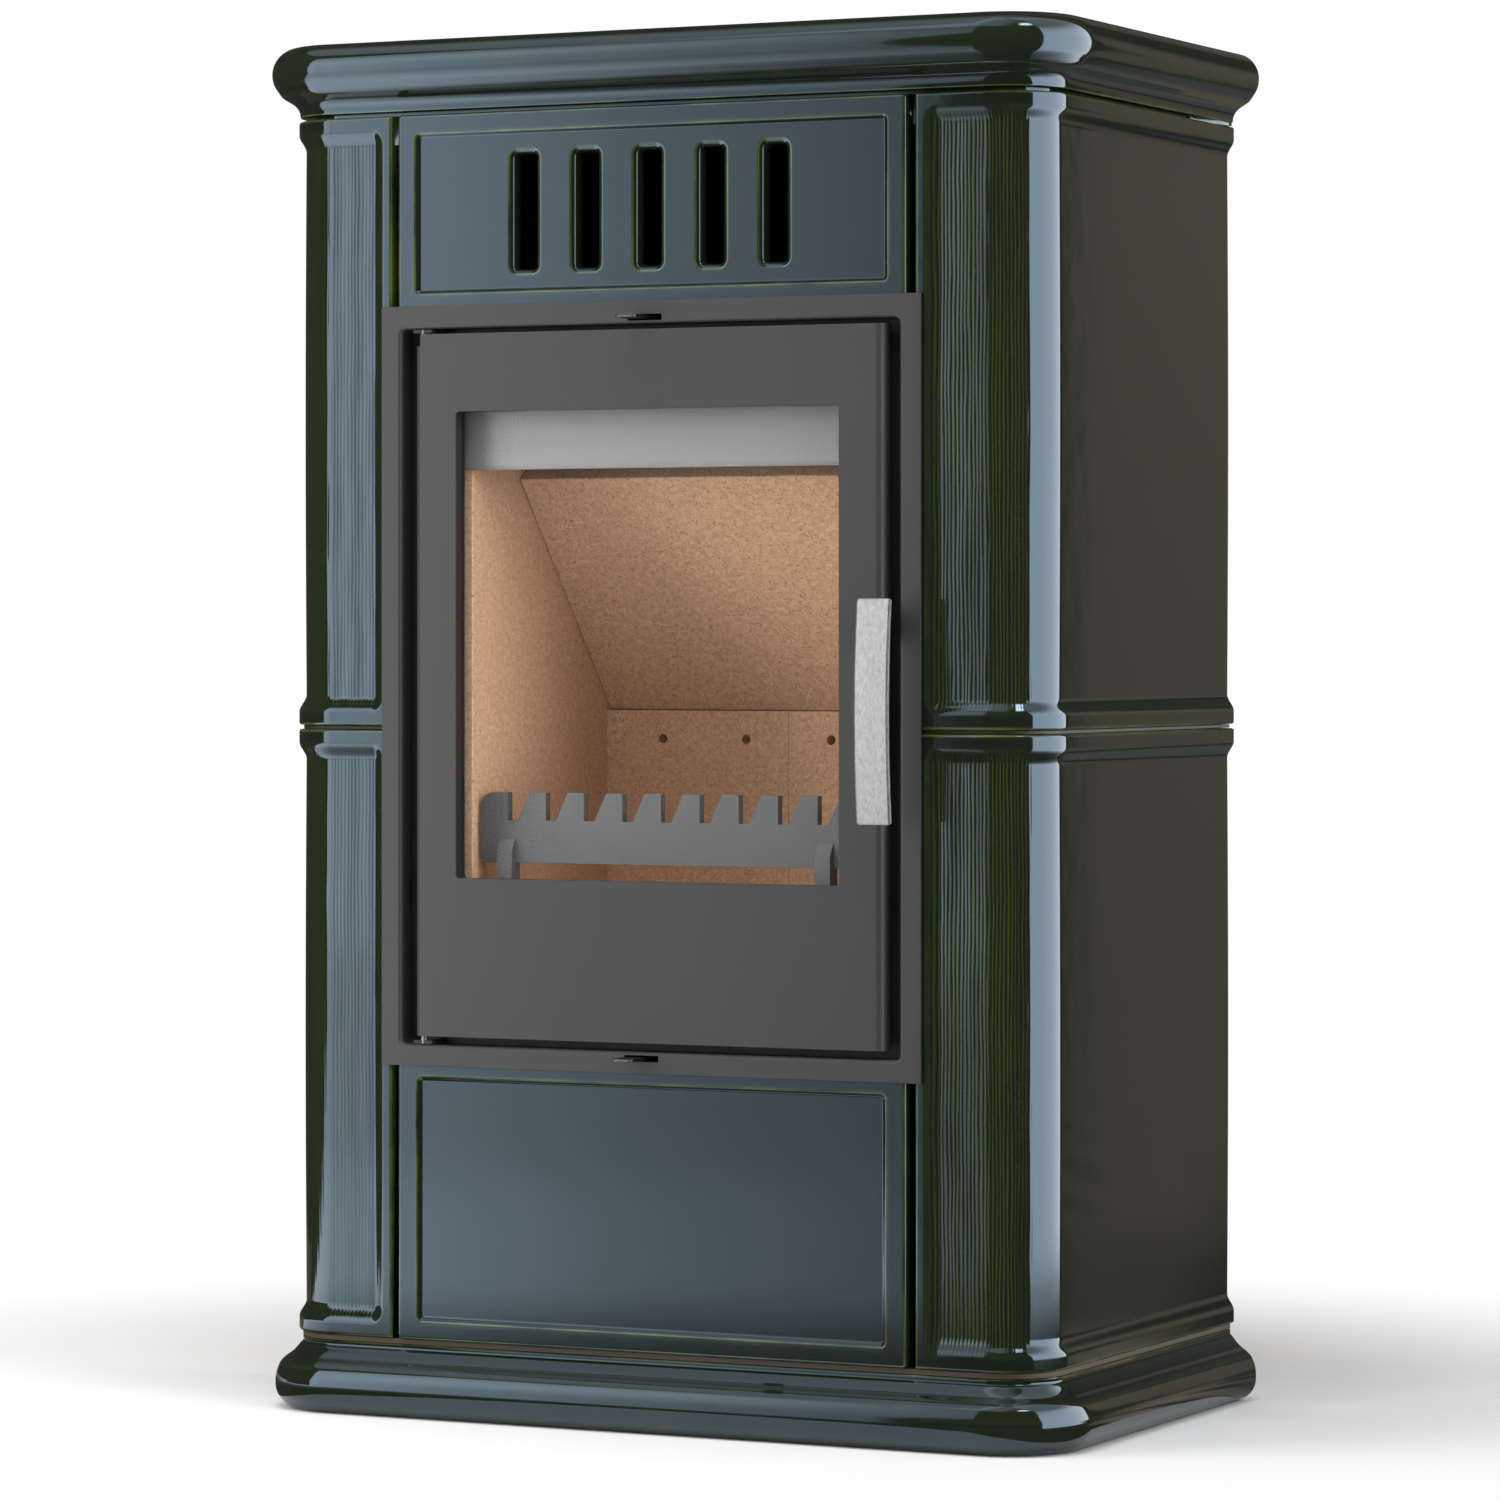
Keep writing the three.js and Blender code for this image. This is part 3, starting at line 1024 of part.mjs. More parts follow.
for (const [sideName, side] of [["left", -1], ["right", 1]]) {
  add(`corner_tile_upper_${sideName}`, cornerTile(UPPER_TILE_LOW, UPPER_TILE_TOP, side > 0), GLAZE);
  add(`corner_tile_lower_${sideName}`, cornerTile(LOWER_TILE_LOW, LOWER_TILE_TOP, side > 0), GLAZE);
  add(`joint_rail_${sideName}`, jointRail(side > 0), BROWN_STEEL);
  add(`side_panel_${sideName}`, sidePanel(side), GALVANISED);
  add(`side_brick_${sideName}`, sideBrick(side), FIRE_BRICK);
  add(`rear_brick_${sideName}`, rearBrick(side), FIRE_BRICK);
  add(`floor_brick_${sideName}`, floorBrick(side), FIRE_BRICK);
  add(`ash_runner_${sideName}`, ashRunner(side), BLACK_STEEL);
  const footPlaces = [["front", PEDESTAL_FRONT_Y + FOOT_INSET], ["rear", PEDESTAL_REAR_Y - FOOT_INSET]];
  for (const [placeName, y] of footPlaces) {
    add(`levelling_foot_${placeName}_${sideName}`, levellingFoot(side, y), GALVANISED);
  }
}

add("door_frame", doorFrame(), GREY_ENAMEL);
add("firebox_front", fireboxFront(), BLACK_STEEL);
add("firebox_shell", fireboxShell(), BLACK_STEEL);
add("flue_collar", flueCollar(), BLACK_STEEL);
add("hearth_plate", hearthPlate(), BLACK_STEEL);
add("fire_grate", fireGrate(), CAST_IRON);
add("rear_air_frame", rearAirFrame(), BLACK_STEEL);
add("baffle_brick", baffleBrick(), FIRE_BRICK);
add("air_deflector", airDeflector(), GREY_ENAMEL);
add("log_guard", logGuard(), CAST_IRON);
add("ash_pan", ashPan(), GALVANISED);
add("primary_air_duct", airDuct(LOWER_TAB_SLOT_X, false), BLACK_STEEL);
add("primary_air_slide", airSlide(LOWER_TAB_SLOT_X, LOWER_SLIDE_LOW), STAINLESS);
add("secondary_air_duct", airDuct(UPPER_TAB_SLOT_X, true), BLACK_STEEL);
add("secondary_air_slide", airSlide(UPPER_TAB_SLOT_X, UPPER_SLIDE_LOW), STAINLESS);

add("door_panel", doorPanel(), GREY_ENAMEL);
add("door_liner", doorLiner(), BLACK_STEEL);
add("window_gasket", windowGasket(), ROPE);
add("window_glass", windowGlass(), CLEAR_GLASS);
add("glass_retainer", glassRetainer(), BLACK_STEEL);
add("door_seal", doorSeal(), ROPE);
add("hinge_pin_lower", hingePin(false), GALVANISED);
add("hinge_pin_upper", hingePin(true), GALVANISED);
add("hinge_bracket_lower", hingeBracket(false), BLACK_STEEL);
add("hinge_bracket_upper", hingeBracket(true), BLACK_STEEL);
add("handle_bar", handleBar(), STAINLESS);
add("handle_lever", handleLever(), BLACK_STEEL);
add("latch_cam", latchCam(), GALVANISED);
add("door_catch", doorCatch(), GALVANISED);

export default stove;
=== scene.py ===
"""Looks of a tiled stove: glazed tiles, enamelled door, vermiculite fire chamber and stainless handle."""
import json
import math

import bpy
import numpy as np
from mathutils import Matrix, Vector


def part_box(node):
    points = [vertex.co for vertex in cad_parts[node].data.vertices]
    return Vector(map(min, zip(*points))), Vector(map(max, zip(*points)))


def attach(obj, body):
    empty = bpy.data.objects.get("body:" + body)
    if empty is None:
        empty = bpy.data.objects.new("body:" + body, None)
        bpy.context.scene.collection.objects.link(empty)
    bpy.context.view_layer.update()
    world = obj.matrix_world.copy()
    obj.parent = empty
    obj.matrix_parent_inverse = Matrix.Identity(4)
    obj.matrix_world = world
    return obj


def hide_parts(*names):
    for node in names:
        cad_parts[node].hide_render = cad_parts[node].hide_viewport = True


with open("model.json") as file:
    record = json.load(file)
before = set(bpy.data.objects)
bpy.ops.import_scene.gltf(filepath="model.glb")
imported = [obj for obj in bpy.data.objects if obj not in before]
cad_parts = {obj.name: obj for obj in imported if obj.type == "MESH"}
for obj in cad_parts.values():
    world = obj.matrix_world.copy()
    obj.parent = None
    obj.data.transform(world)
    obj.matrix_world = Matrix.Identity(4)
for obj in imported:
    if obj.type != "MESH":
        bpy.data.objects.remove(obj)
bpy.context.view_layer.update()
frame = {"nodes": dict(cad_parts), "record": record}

bl_info = {
    "name": "Tiled Stove",
    "version": (1, 0, 0),
    "blender": (4, 5, 0),
    "location": "View3D > Sidebar > Stove",
    "description": "Glazed tiles, steel door, fire chamber and studio of a tiled stove",
    "category": "Object",
}

MM = 0.001
BODY = "stove_body"
TILE_PROUD = 1.5 * MM  # how far the front tiles stand before the front plane
SET_BACK = 0.3 * MM  # how far the corner tiles' bands lie behind it
FRONT_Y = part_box("front_tile_lower")[0].y + TILE_PROUD  # the front plane
REAR_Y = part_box("corner_tile_lower_left")[1].y
AXIS_Y = FRONT_Y + 0.16254  # the upright axis that the photo's camera was fitted round
HALF_WIDTH = 0.300
FINE_ANGLE = math.radians(32)
WHITE = (1.0, 1.0, 1.0, 1.0)


# ---------------------------------------------------------------- settings
def length(name, description, default):
    """A length property in metres."""
    return bpy.props.FloatProperty(
        name=name, description=description, default=default, unit="LENGTH", precision=5)


def colour(name, description, default):
    """A colour property in linear RGB."""
    return bpy.props.FloatVectorProperty(
        name=name, description=description, default=default, subtype="COLOR", size=3, min=0, max=1)


class StoveTileSizes(bpy.types.PropertyGroup):
    """Sizes of the glazed ceramic pieces."""
    corner_radius: length("Corner radius", "Plan radius of the front corners over the bands", 0.044)
    wall: length("Tile wall", "Thickness of the corner tiles", 0.014)
    field_depth: length("Field depth", "How far the grained field lies behind the bands", 0.0053)
    field_bow: length("Field bow", "How far the field swells at its middle height", 0.0009)
    band_flat: length("Band flat", "Height of the flat part of a raised band", 0.0095)
    band_fall: length("Band fall", "Height over which a band falls to the field", 0.012)
    border_flat: length("Border flat", "Width of the raised border beside the door", 0.007)
    border_fall: length("Border fall", "Width over which the border falls to the field", 0.0095)
    edge_round: length("Edge rounding", "Rounding of the tile edges", 0.002)
    ripple: length("Ripple", "Height of the slow upright waves in the field", 0.000022)
    panel_depth: length("Panel depth", "Depth of the sunken panels in the front tiles", 0.0026)
    slot_width: length("Slot width", "Clear width of a warm-air slot", 0.017)
    slot_pitch: length("Slot pitch", "Distance between warm-air slots", 0.049)
    slot_lip: length("Slot lip", "Rounding round a warm-air slot", 0.0048)


class StoveSteelSizes(bpy.types.PropertyGroup):
    """Sizes of the steel pieces."""
    sheet: length("Sheet", "Thickness of the pressed sheets", 0.002)
    door_bend: length("Door bend", "Outer radius of the door's bent edges", 0.006)
    opening_bend: length("Opening bend", "Rounding of the surround's folded inner edge", 0.0028)
    edge_break: length("Edge break", "Rounding of cut sheet edges", 0.0004)
    brick_edge: length("Brick edge", "Rounding of the fire bricks", 0.0012)
    handle_chamfer: length("Handle chamfer", "Bevel along the handle bar", 0.0011)


class StoveColours(bpy.types.PropertyGroup):
    """Colours of the finishes."""
    glaze: colour("Glaze", "Thick glaze on the flats", (0.0075, 0.0105, 0.0055))
    glaze_thin: colour("Thin glaze", "Glaze where it thins on edges", (0.075, 0.105, 0.016))
    glaze_gloss: colour("Glaze gloss", "Blue-green tint of the glaze's mirror image", (0.56, 0.77, 1.0))
    glaze_ridge: colour("Ridge glaze", "Glaze on top of the ripples", (0.026, 0.038, 0.0055))
    enamel: colour("Enamel", "Matt stove enamel", (0.033, 0.033, 0.033))
    soot: colour("Black steel", "Heat-proof black paint", (0.012, 0.012, 0.012))
    zinc: colour("Zinc", "Zinc-coated sheet", (0.36, 0.37, 0.38))
    brown: colour("Brown strip", "Painted edge under the tiles", (0.042, 0.027, 0.018))
    brick: colour("Fire brick", "Pressed vermiculite", (0.45, 0.255, 0.140))
    brick_light: colour("Fire brick flakes", "Pale flakes in the vermiculite", (0.66, 0.46, 0.315))
    casting: colour("Casting", "Grey cast log guard", (0.055, 0.055, 0.055))
    stainless: colour("Stainless", "Tumbled stainless bar", (0.60, 0.60, 0.60))


class StoveStage(bpy.types.PropertyGroup):
    """Camera and light levels."""
    lens: bpy.props.FloatProperty(name="Lens", description="Focal length in millimetres", default=144.3)
    shift_y: bpy.props.FloatProperty(name="Shift", description="Vertical lens shift", default=-0.0775)
    azimuth: bpy.props.FloatProperty(
        name="Azimuth", description="Camera azimuth", default=math.radians(26.138), subtype="ANGLE")
    camera_height: length("Camera height", "Height of the lens above the floor", 0.55766)
    distance: length("Distance", "Camera to the stove's middle axis, in plan", 4.3423)
    floor_near: length("Floor shadow radius", "Radius round the stove in which the floor takes shadow", 0.42)
    floor_far: length("Floor fade radius", "Radius at which the floor has become plain white", 1.0)


# ---------------------------------------------------------------- meshes
def new_object(name, points, faces, sharp_angle=FINE_ANGLE):
    """An object at the origin from points in metres and faces as index lists, smooth but for sharp edges."""
    mesh = bpy.data.meshes.new(name)
    mesh.from_pydata(np.asarray(points, dtype=float).reshape(-1, 3).tolist(), [], faces)
    mesh.validate()
    mesh.shade_smooth()
    mesh.set_sharp_from_angle(angle=sharp_angle)
    piece = bpy.data.objects.new(name, mesh)
    bpy.context.scene.collection.objects.link(piece)
    return piece


def grid_quads(rows, columns, wrap_rows=False, wrap_columns=False):
    """Quads of a rows x columns grid of points, as index lists: each cell joins four neighbours."""
    row = np.arange(rows if wrap_rows else rows - 1)
    column = np.arange(columns if wrap_columns else columns - 1)
    r, c = np.meshgrid(row, column, indexing="ij")
    r2, c2 = (r + 1) % rows, (c + 1) % columns
    quads = np.stack([r * columns + c, r * columns + c2, r2 * columns + c2, r2 * columns + c], axis=-1)
    return quads.reshape(-1, 4)


def outward(points, faces):
    """The faces, turned over if the solid that they close has a negative volume by the divergence theorem."""
    points = np.asarray(points, dtype=float).reshape(-1, 3)
    fans = (np.cross(points[face[1:-1]], points[face[2:]]).sum(axis=0) @ points[face[0]] for face in faces)
    volume = sum(fans)
    return [list(face)[::1 if volume > 0 else -1] for face in faces]


def consistent(faces):
    """Faces turned so that a shared edge runs opposite ways in its two faces, starting from the first."""
    owner = {}
    for number, face in enumerate(faces):
        for a, b in zip(face, face[1:] + face[:1]):
            owner.setdefault((min(a, b), max(a, b)), []).append((number, a < b))
    flips = {0: False}
    queue = [0]
    while queue:
        number = queue.pop()
        face = faces[number]
        for a, b in zip(face, face[1:] + face[:1]):
            here = (a < b) ^ flips[number]
            for other, sense in owner[(min(a, b), max(a, b))]:
                if other not in flips:
                    flips[other] = sense == here
                    queue.append(other)
    return [face[::-1] if flips.get(number) else face for number, face in enumerate(faces)]


def capped_tube(name, points, **options):
    """A solid from one closed section at each station of a run, with flat ends."""
    stations, count = points.shape[:2]
    grid = np.arange(stations * count).reshape(stations, count)
    faces = grid_quads(stations, count, wrap_columns=True).tolist() + [grid[0].tolist(), grid[-1].tolist()]
    return new_object(name, points, outward(points, consistent(faces)), **options)


def closed_tube(name, points):
    """A solid from one closed section at each station of a run that returns to its start."""
    faces = grid_quads(*points.shape[:2], wrap_rows=True, wrap_columns=True).tolist()
    return new_object(name, points, outward(points, faces))


def float_attribute(piece, name, values):
    """Stores one number per point for a material to read."""
    layer = piece.data.attributes.new(name, "FLOAT", "POINT")
    layer.data.foreach_set("value", np.asarray(values, dtype=np.float32).ravel())


def smoothstep(value, low, high):
    """0 below low, 1 above high, and the cubic 3t^2 - 2t^3 between."""
    t = np.clip((value - low) / (high - low), 0, 1)
    return t * t * (3 - 2 * t)


def rounding(distance, radius):
    """Depth lost near an edge: a quarter circle of that radius, 0 once distance passes the radius."""
    t = np.clip(1 - distance / radius, 0, 1)
    return radius * (1 - np.sqrt(1 - t * t))


def rect_distance(x, z, rect):
    """Signed distance to a rounded rectangle (x0, x1, z0, z1, radius), negative inside."""
    x0, x1, z0, z1, radius = rect
    dx = np.abs(x - (x0 + x1) / 2) - (x1 - x0) / 2 + radius
    dz = np.abs(z - (z0 + z1) / 2) - (z1 - z0) / 2 + radius
    outside = np.hypot(np.maximum(dx, 0), np.maximum(dz, 0))
    return outside + np.minimum(np.maximum(dx, dz), 0) - radius


def spaced(*marks):
    """Sorted grid lines from (start, end, step) runs, with near-doubles dropped."""
    runs = [np.linspace(a, b, max(2, int(round(abs(b - a) / step)) + 1)) for a, b, step in marks]
    lines = np.unique(np.round(np.concatenate(runs), 7))
    keep = np.concatenate([[True], np.diff(lines) > 0.00012])
    return lines[keep]


def finish_piece(piece, finish, node=None):
    """Gives a piece its finish, body and slot. A piece that stands for a CAD node takes that node's body, and
    any other piece rides on the stove's body."""
    piece.data.materials.clear()
    piece.data.materials.append(bpy.data.materials[finish])
    if node:
        bodies = frame["record"]["behaviour"]["bodies"]
        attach(piece, next(name for name, nodes in bodies.items() if node in nodes))
        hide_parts(node)
    else:
        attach(piece, BODY)
    return piece


def modified(piece, kind, **settings):
    """Adds a modifier with its settings."""
    modifier = piece.modifiers.new(kind.lower(), kind)
    for key, value in settings.items():
        setattr(modifier, key, value)
    return piece


def applied(piece):
    """Replaces a piece's mesh by its evaluated mesh and removes its modifiers."""
    depsgraph = bpy.context.evaluated_depsgraph_get()
    mesh = bpy.data.meshes.new_from_object(piece.evaluated_get(depsgraph))
    piece.modifiers.clear()
    piece.data = mesh
    return piece


def evened(piece):
    """Smooth shading with sharp edges kept, and normals weighted by area so that flat faces look flat."""
    piece.data.shade_smooth()
    piece.data.set_sharp_from_angle(angle=FINE_ANGLE)
    return applied(modified(piece, "WEIGHTED_NORMAL", weight=100, keep_sharp=True))


def round_edges(piece, width, angle=30):
    """Rounds the sharp edges of a piece with a Bevel, and keeps its flat faces flat to the eye."""
    piece.data.shade_smooth()
    modified(piece, "BEVEL", width=width, segments=2, limit_method="ANGLE", angle_limit=math.radians(angle))
    return evened(applied(piece))


def dress(finish, edge, *nodes):
    """Puts in place of each CAD node a copy with merged corners, joined flats and rounded sharp edges. With
    an edge of 0 the copy is flat shaded."""
    for node in nodes:
        piece = bpy.data.objects.new(f"{node}_dressed", frame["nodes"][node].data.copy())
        bpy.context.scene.collection.objects.link(piece)
        modified(piece, "WELD", merge_threshold=0.02 * MM)
        modified(piece, "DECIMATE", decimate_type="DISSOLVE", angle_limit=math.radians(1))
        applied(piece)
        if edge:
            round_edges(piece, edge)
        else:
            piece.data.shade_flat()
        finish_piece(piece, finish, node)


# ---------------------------------------------------------------- walls in plan
def wall_path(start_x, radius, front_lines, corner_steps, side_lines, side=-1):
    """Stations along the wall, from the front at x = start_x round the corner to the rear: foot point,
    outward normal and run s. The front and the side run straight, and the corner is a quarter circle."""
    straight = HALF_WIDTH - radius - start_x
    front = np.asarray(front_lines)[np.asarray(front_lines) < straight - 1e-6]
    turn = np.linspace(0, math.pi / 2, corner_steps + 1)
    side_run = np.asarray(side_lines)
    x = [start_x + front, HALF_WIDTH - radius + np.sin(turn) * radius, np.full(len(side_run), HALF_WIDTH)]
    y = [np.zeros(len(front)), radius - np.cos(turn) * radius, radius + side_run]
    nx = [np.zeros(len(front)), np.sin(turn), np.ones(len(side_run))]
    ny = [-np.ones(len(front)), -np.cos(turn), np.zeros(len(side_run))]
    s = [front, straight + turn * radius, straight + math.pi / 2 * radius + side_run]
    x, y, nx, ny, s = (np.concatenate(runs) for runs in (x, y, nx, ny, s))
    return {"x": side * x, "y": FRONT_Y + y, "nx": side * nx, "ny": ny, "s": s}


def whole_wall(radius, corner_steps, side_step=0.02):
    """The wall from the rear left round the front to the rear right."""
    depth = REAR_Y - FRONT_Y - radius
    side_lines = spaced((side_step, depth, side_step))
    side_lines[-1] = depth
    front_lines = [0.0, 0.08, 0.16]
    left, right = (wall_path(0.0, radius, front_lines, corner_steps, side_lines, side) for side in (-1, 1))
    return {key: np.concatenate([left[key][::-1], right[key][1:]]) for key in left}


def carried(path, offsets, heights):
    """Points of a profile carried along a path: foot + normal * offset, at each height. Offsets and heights
    are profile arrays, or one row per station."""
    offsets = np.broadcast_to(offsets, (len(path["x"]), np.shape(offsets)[-1]))
    heights = np.broadcast_to(heights, offsets.shape)
    x = path["x"][:, None] + path["nx"][:, None] * offsets
    y = path["y"][:, None] + path["ny"][:, None] * offsets
    return np.stack([x, y, heights], axis=-1)


def soft_line(distance, centre, width):
    """A soft line along an outline: a bell of the distance from it, 1 at the centre."""
    return np.exp(-((distance - centre) / width) ** 2)


def convexity(offset, along, up, reach):
    """How sharply a relief turns outward: minus its second derivatives times a reach, from 0 to 1."""
    second_up = np.gradient(np.gradient(offset, up, axis=1), up, axis=1)
    second_along = np.gradient(np.gradient(offset, along, axis=0), along, axis=0)
    return np.clip(-(second_up + second_along) * reach, 0, 1) ** 1.4


# ---------------------------------------------------------------- shader groups
def node_group(name, inputs, outputs):
    """A new shader node group with float, colour or vector sockets."""
    group = bpy.data.node_groups.new(name, "ShaderNodeTree")
    kinds = {"float": "NodeSocketFloat", "colour": "NodeSocketColor", "vector": "NodeSocketVector"}
    for label, kind, default in inputs:
        socket = group.interface.new_socket(name=label, in_out="INPUT", socket_type=kinds[kind])
        if default is not None:
            socket.default_value = default
    for label, kind in outputs:
        group.interface.new_socket(name=label, in_out="OUTPUT", socket_type=kinds[kind])
    return group, group.nodes.new("NodeGroupInput"), group.nodes.new("NodeGroupOutput")


def fill(tree, socket, value):
    """Links a socket to another one, or sets its value."""
    if isinstance(value, bpy.types.NodeSocket):
        tree.links.new(value, socket)
    else:
        socket.default_value = value


def add_node(tree, kind, settings=None, **inputs):
    """Adds a node, sets its properties, and fills its inputs, which go by name or by number, as in i0."""
    node = tree.nodes.new(kind)
    for key, value in (settings or {}).items():
        setattr(node, key, value)
    for key, value in inputs.items():
        numbered = key[0] == "i" and key[1:].isdigit()
        fill(tree, node.inputs[int(key[1:]) if numbered else key.replace("_", " ")], value)
    return node


def math_node(tree, operation, first, second=0.0, clamp=False):
    """One math node's output."""
    settings = {"operation": operation, "use_clamp": clamp}
    return add_node(tree, "ShaderNodeMath", settings, i0=first, i1=second).outputs[0]


def scaled(tree, value, factor, offset=0.0):
    """value * factor + offset."""
    return math_node(tree, "ADD", math_node(tree, "MULTIPLY", value, factor), offset)


def mix_colour(tree, factor, first, second):
    """One colour mix node's output."""
    return add_node(tree, "ShaderNodeMix", {"data_type": "RGBA"}, i0=factor, i6=first, i7=second).outputs[2]


def noise(tree, where, scale, detail, **inputs):
    """A noise from 0 to 1 of a scale in cells per metre."""
    inputs.update(Vector=where, Scale=scale, Detail=detail)
    return add_node(tree, "ShaderNodeTexNoise", **inputs).outputs["Fac"]


def ramp(tree, value, low, high, kind="LINEAR"):
    """0 below low, 1 above high."""
    return add_node(tree, "ShaderNodeMapRange", {"interpolation_type": kind}, Value=value, From_Min=low,
                    From_Max=high).outputs["Result"]


def attribute(tree, name, output="Fac"):
    """What a named attribute of the mesh holds."""
    return add_node(tree, "ShaderNodeAttribute", {"attribute_name": name}).outputs[output]


def grouped(tree, name, **inputs):
    """The outputs of a group node placed in a tree."""
    return add_node(tree, "ShaderNodeGroup", {"node_tree": bpy.data.node_groups[name]}, **inputs).outputs


def bump(tree, height, distance, **inputs):
    """A Bump node's normal, with the height in units of the distance."""
    return add_node(tree, "ShaderNodeBump", Height=height, Distance=distance, **inputs).outputs["Normal"]


def object_coordinates(tree, scale=(1, 1, 1)):
    """Object coordinates in metres, stretched by a Mapping node."""
    source = tree.nodes.new("ShaderNodeTexCoord")
    return add_node(tree, "ShaderNodeMapping", Vector=source.outputs["Object"], Scale=scale).outputs["Vector"]


def shade(values, factor=1.0):
    """Three colour channels times a factor, up to 1, with full alpha."""
    return (*(min(1.0, factor * channel) for channel in values), 1.0)


def make_speckle_group():
    """Fine grain: coarse and fine noise give a value from 0 to 1, and a height for the surface."""
    group, given, out = node_group(
        "speckle", [("Vector", "vector", None), ("Coarse", "float", 90.0), ("Fine", "float", 600.0),
                    ("Contrast", "float", 1.0)],
        [("Value", "float"), ("Height", "float"), ("Patches", "float")])
    given = given.outputs
    coarse = noise(group, given["Vector"], given["Coarse"], 3.0, Roughness=0.55)
    fine = noise(group, given["Vector"], given["Fine"], 4.0, Roughness=0.7)
    both = math_node(group, "ADD", math_node(group, "MULTIPLY", coarse, 0.35),
                     math_node(group, "MULTIPLY", fine, 0.65))
    centred = math_node(group, "SUBTRACT", both, 0.5)
    value = math_node(group, "ADD", math_node(group, "MULTIPLY", centred, given["Contrast"]), 0.5, clamp=True)
    for name, output in (("Value", value), ("Height", fine), ("Patches", coarse)):
        group.links.new(output, out.inputs[name])


def make_ripple_group():
    """Upright ripples: a sine wave along the run of the wall, whose lines wander and merge as they rise, and
    which grows and fades in slow patches."""
    group, given, out = node_group(
        "upright_ripples", [("Run", "float", 0.0), ("Up", "float", 0.0), ("Spacing", "float", 0.003),
                            ("Wander", "float", 3.0)],
        [("Height", "float")])
    given = given.outputs
    rise = math_node(group, "MULTIPLY", given["Up"], 0.11)
    place = add_node(group, "ShaderNodeCombineXYZ", X=given["Run"], Z=rise).outputs[0]
    scale = math_node(group, "DIVIDE", math.pi / 10, given["Spacing"])
    wave = add_node(group, "ShaderNodeTexWave", {"wave_type": "BANDS", "bands_direction": "X"}, Vector=place,
                    Scale=scale, Distortion=given["Wander"], Detail=2.0).outputs["Fac"]
    strength = math_node(group, "ADD", noise(group, place, 70.0, 1.0), 0.35)
    group.links.new(math_node(group, "MULTIPLY", wave, strength), out.inputs["Height"])


# ---------------------------------------------------------------- materials
def new_material(name):
    """An empty node material and its tree."""
    material = bpy.data.materials.new(name)
    material.use_nodes = True
    return material, material.node_tree


def principled(tree, **inputs):
    """Fills the sockets of the material's own Principled BSDF with values or links."""
    shader = tree.nodes["Principled BSDF"]
    for key, value in inputs.items():
        fill(tree, shader.inputs[key.replace("_", " ")], value)
    return shader


def glaze_material(rippled, colours):
    """Bottle-green gloss glaze: thin and olive on convex edges, thick and almost black elsewhere. Where the
    tile is rippled, the glaze also thins on each ripple."""
    tree = new_material("tile_glaze_rippled" if rippled else "tile_glaze")[1]
    where = object_coordinates(tree)
    thick, contrast = 0.28, 2.6  # where the flow noise is under thick, an edge keeps its thick glaze
    flow = math_node(tree, "SUBTRACT", noise(tree, where, 22.0, 3.0), thick)
    thinning = math_node(tree, "MULTIPLY", flow, contrast, clamp=True)
    edge = math_node(tree, "MULTIPLY", attribute(tree, "glaze_thin"), thinning, clamp=True)
    base = mix_colour(tree, edge, shade(colours.glaze), shade(colours.glaze_thin))
    normal = bump(tree, noise(tree, where, 30.0, 2.0), 0.06 * MM)
    if rippled:
        field = attribute(tree, "ripple_field")
        up = add_node(tree, "ShaderNodeSeparateXYZ", Vector=where).outputs["Z"]
        ripples = grouped(tree, "upright_ripples", Run=attribute(tree, "wall_run"), Up=up, Spacing=2.9 * MM,
                          Wander=4.5)["Height"]
        normal = bump(tree, math_node(tree, "MULTIPLY", ripples, field), 0.065 * MM, Normal=normal)
        ridge = math_node(tree, "MULTIPLY", ramp(tree, ripples, 0.40, 0.80), field, clamp=True)
        base = mix_colour(tree, ridge, base, shade(colours.glaze_ridge))
    principled(tree, Base_Color=base, Roughness=0.05, IOR=1.75, Specular_Tint=shade(colours.glaze_gloss),
               Normal=normal)


def grained_material(name, base, light, roughness, metallic=0.0, coarse=60.0, fine=700.0, contrast=1.2,
                     relief=0.08 * MM, uneven=0.12, **inputs):
    """A speckled finish between two colours, for enamel, paint, casting and zinc. The roughness varies by
    uneven over slow patches."""
    tree = new_material(name)[1]
    where = object_coordinates(tree)
    grain = grouped(tree, "speckle", Vector=where, Coarse=coarse, Fine=fine, Contrast=contrast)
    principled(tree, Base_Color=mix_colour(tree, grain["Value"], base, light), Metallic=metallic,
               Roughness=scaled(tree, grain["Patches"], uneven, roughness - uneven / 2),
               Normal=bump(tree, grain["Height"], relief), **inputs)


def brick_material(colours):
    """Pressed vermiculite: fine dark and pale specks in tan, and slow patches of warmer brown."""
    tree = new_material("vermiculite")[1]
    where = object_coordinates(tree)
    fine = grouped(tree, "speckle", Vector=where, Coarse=240.0, Fine=560.0, Contrast=3.2)
    specks = ramp(tree, noise(tree, where, 640.0, 1.0), 0.62, 0.72)
    tan = mix_colour(tree, fine["Value"], shade(colours.brick, 0.72), shade(colours.brick_light))
    patches = math_node(tree, "MULTIPLY", noise(tree, where, 5.0, 2.0), 0.5)
    warm = mix_colour(tree, patches, tan, shade(colours.brick))
    flecked = mix_colour(tree, math_node(tree, "MULTIPLY", specks, 0.75), warm, shade(colours.brick, 0.30))
    principled(tree, Base_Color=flecked, Roughness=0.92, IOR=1.35,
               Normal=bump(tree, fine["Height"], 0.05 * MM))


